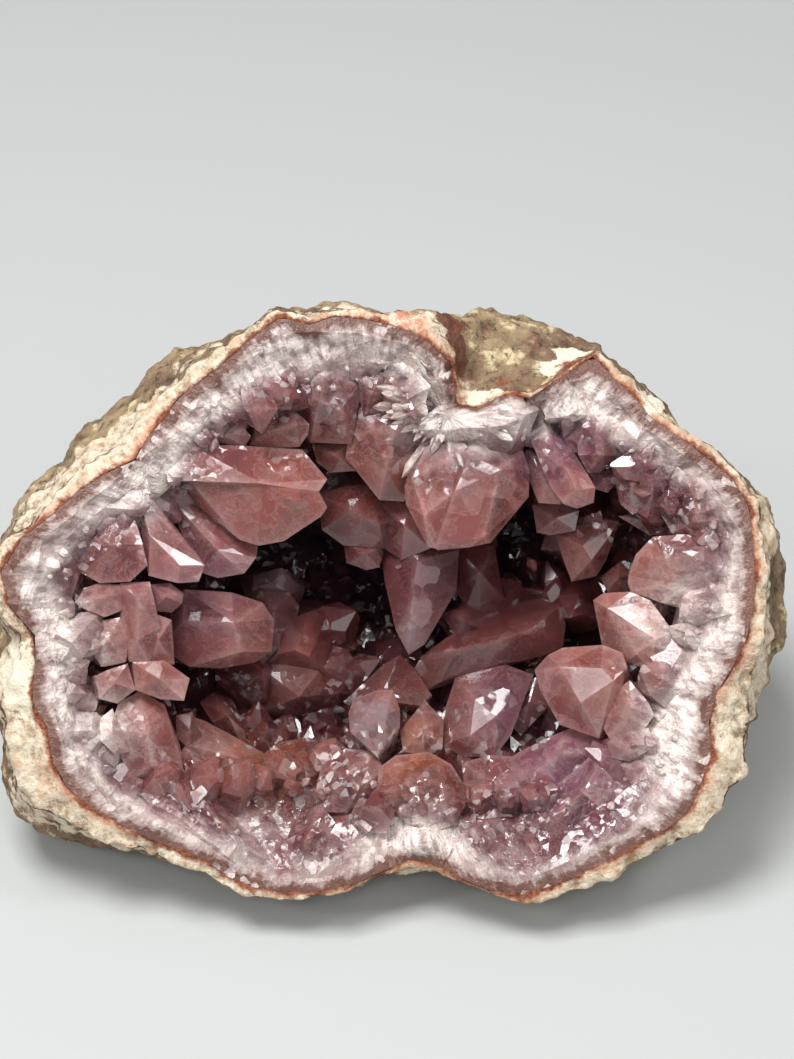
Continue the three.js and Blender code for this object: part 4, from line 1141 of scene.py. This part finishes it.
def make_small_crystals(growth, count):
    """Makes one generation, in the finish of the large crystals."""
    rind = tree_of("rind")
    corners, triangles, facets, ahead = grown(growth, count, rind)
    finish = bpy.data.objects["crystals"].data.materials[0]
    piece = finished_piece(growth.name, bmesh_of(corners, triangles), finish)
    carry_growth(piece.data, rind, ahead, growth.frost)
    carry(piece.data, "facet", facets, "FACE")
    carry(piece.data, "edge_gap", np.full(len(corners), EDGE_GLOW))
    carry(piece.data, "clear", np.full(len(corners), growth.clear))
    return piece


# ---- Stage, in metres ----
FLOOR_REACH = 3
LIGHTS = {  # place, width, and the setting that holds the power
    "window": ((-0.08, -0.03, 0.33), 0.14, "window"),
    "fill": ((0.22, -0.25, 0.28), 0.3, "fill"),
    "glint_left": ((-0.24, -0.12, 0.2), 0.05, "glints"),
    "glint_right": ((0.18, -0.02, 0.25), 0.05, "glints"),
    "glint_front": ((-0.03, -0.24, 0.24), 0.08, "glint_front"),
}
LIGHTS_AIM = Vector((0, 0, 0.015))
CAMERA_AWAY = 0.1961  # from the middle of the mouth
CAMERA_LENS = 100  # millimetres
CAMERA_SENSOR = 36  # millimetres


def make_floor(colour):
    bm = bmesh.new()
    bmesh.ops.create_grid(bm, x_segments=1, y_segments=1, size=FLOOR_REACH)
    finish = Finish("floor")
    material = finish.done(finish.surface({"Base Color": colour, "Roughness": 0.85}))
    floor = finished_object("floor", bm, material)
    floor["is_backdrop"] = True
    return floor


def make_light(name, place, width, power):
    light = bpy.data.lights.new(name, "AREA")
    light.size = width
    light.energy = power
    lamp = place_in_scene(name, light)
    lamp.location = place
    aim = LIGHTS_AIM - Vector(place)
    lamp.rotation_euler = aim.to_track_quat("-Z", "Y").to_euler()
    return lamp


def make_camera():
    camera = bpy.data.cameras.new("camera")
    camera.lens = CAMERA_LENS
    camera.sensor_width = CAMERA_SENSOR
    camera.clip_start = MM
    holder = place_in_scene("camera", camera)
    turn = Matrix((RIGHT, UPWARDS, OUTWARDS)).transposed().to_4x4()
    holder.matrix_world = Matrix.Translation(MOUTH_AT + CAMERA_AWAY * OUTWARDS) @ turn
    bpy.context.scene.camera = holder
    return holder


def make_world(colour, strength):
    world = bpy.data.worlds.new("room")
    world.use_nodes = True
    background = world.node_tree.nodes["Background"]
    background.inputs["Color"].default_value = colour
    background.inputs["Strength"].default_value = strength
    bpy.context.scene.world = world
    bpy.context.scene.view_settings.view_transform = "Standard"


# ---- Operators and the panel ----
class GEODE_OT_rind(bpy.types.Operator):
    """Makes the rock rind"""

    bl_idname = "geode.rind"
    bl_label = "Make the rock rind"

    def execute(self, context):
        make_rind(context.scene.geode_rock)
        return {"FINISHED"}


class GEODE_OT_crust(bpy.types.Operator):
    """Makes the crust of crystals"""

    bl_idname = "geode.crust"
    bl_label = "Make the crystal crust"

    def execute(self, context):
        make_crust(context.scene.geode_crystals)
        return {"FINISHED"}


class GEODE_OT_small_crystals(bpy.types.Operator):
    """Makes the small crystals between the large ones"""

    bl_idname = "geode.small_crystals"
    bl_label = "Make the small crystals"

    def execute(self, context):
        counts = context.scene.geode_small_crystals
        for name, growth in GENERATIONS.items():
            make_small_crystals(growth, getattr(counts, name))
        return {"FINISHED"}


class GEODE_OT_stage(bpy.types.Operator):
    """Makes the floor, lights and camera"""

    bl_idname = "geode.stage"
    bl_label = "Make the stage"

    def execute(self, context):
        stage = context.scene.geode_stage
        make_floor(stage.floor)
        for name, (place, width, power) in LIGHTS.items():
            make_light(name, place, width, getattr(stage, power))
        make_world(stage.room, stage.room_strength)
        make_camera()
        return {"FINISHED"}


PARTS = {  # settings of each part, and the operator that makes it
    "geode_rock": (GEODE_PG_rock, GEODE_OT_rind),
    "geode_crystals": (GEODE_PG_crystals, GEODE_OT_crust),
    "geode_small_crystals": (GEODE_PG_small_crystals, GEODE_OT_small_crystals),
    "geode_stage": (GEODE_PG_stage, GEODE_OT_stage),
}


class GEODE_PT_sidebar(bpy.types.Panel):
    """Lists each part's settings and its button"""

    bl_label = "Pink Amethyst Geode"
    bl_idname = "GEODE_PT_sidebar"
    bl_space_type = "VIEW_3D"
    bl_region_type = "UI"
    bl_category = "Geode"

    def draw(self, context):
        for name, (settings, operator) in PARTS.items():
            box = self.layout.box()
            box.label(text=settings.__doc__)
            for setting in settings.__annotations__:
                box.prop(getattr(context.scene, name), setting)
            box.operator(operator.bl_idname)


def register():
    for name, (settings, operator) in PARTS.items():
        bpy.utils.register_class(settings)
        setattr(bpy.types.Scene, name, PointerProperty(type=settings))
        bpy.utils.register_class(operator)
    bpy.utils.register_class(GEODE_PT_sidebar)


def unregister():
    bpy.utils.unregister_class(GEODE_PT_sidebar)
    for name, (settings, operator) in reversed(PARTS.items()):
        bpy.utils.unregister_class(operator)
        delattr(bpy.types.Scene, name)
        bpy.utils.unregister_class(settings)


def write_sizes():
    """Gathers the boxes round the solids and round the pieces."""
    boxes = {"cad": CAD_BOX, "visual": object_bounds()}
    lists = {name: [list(corner) for corner in box] for name, box in boxes.items()}


def main():
    register()
    bpy.ops.geode.rind()
    bpy.ops.geode.crust()
    bpy.ops.geode.small_crystals()
    bpy.ops.geode.stage()
    write_sizes()


if __name__ == "__main__":
    main()
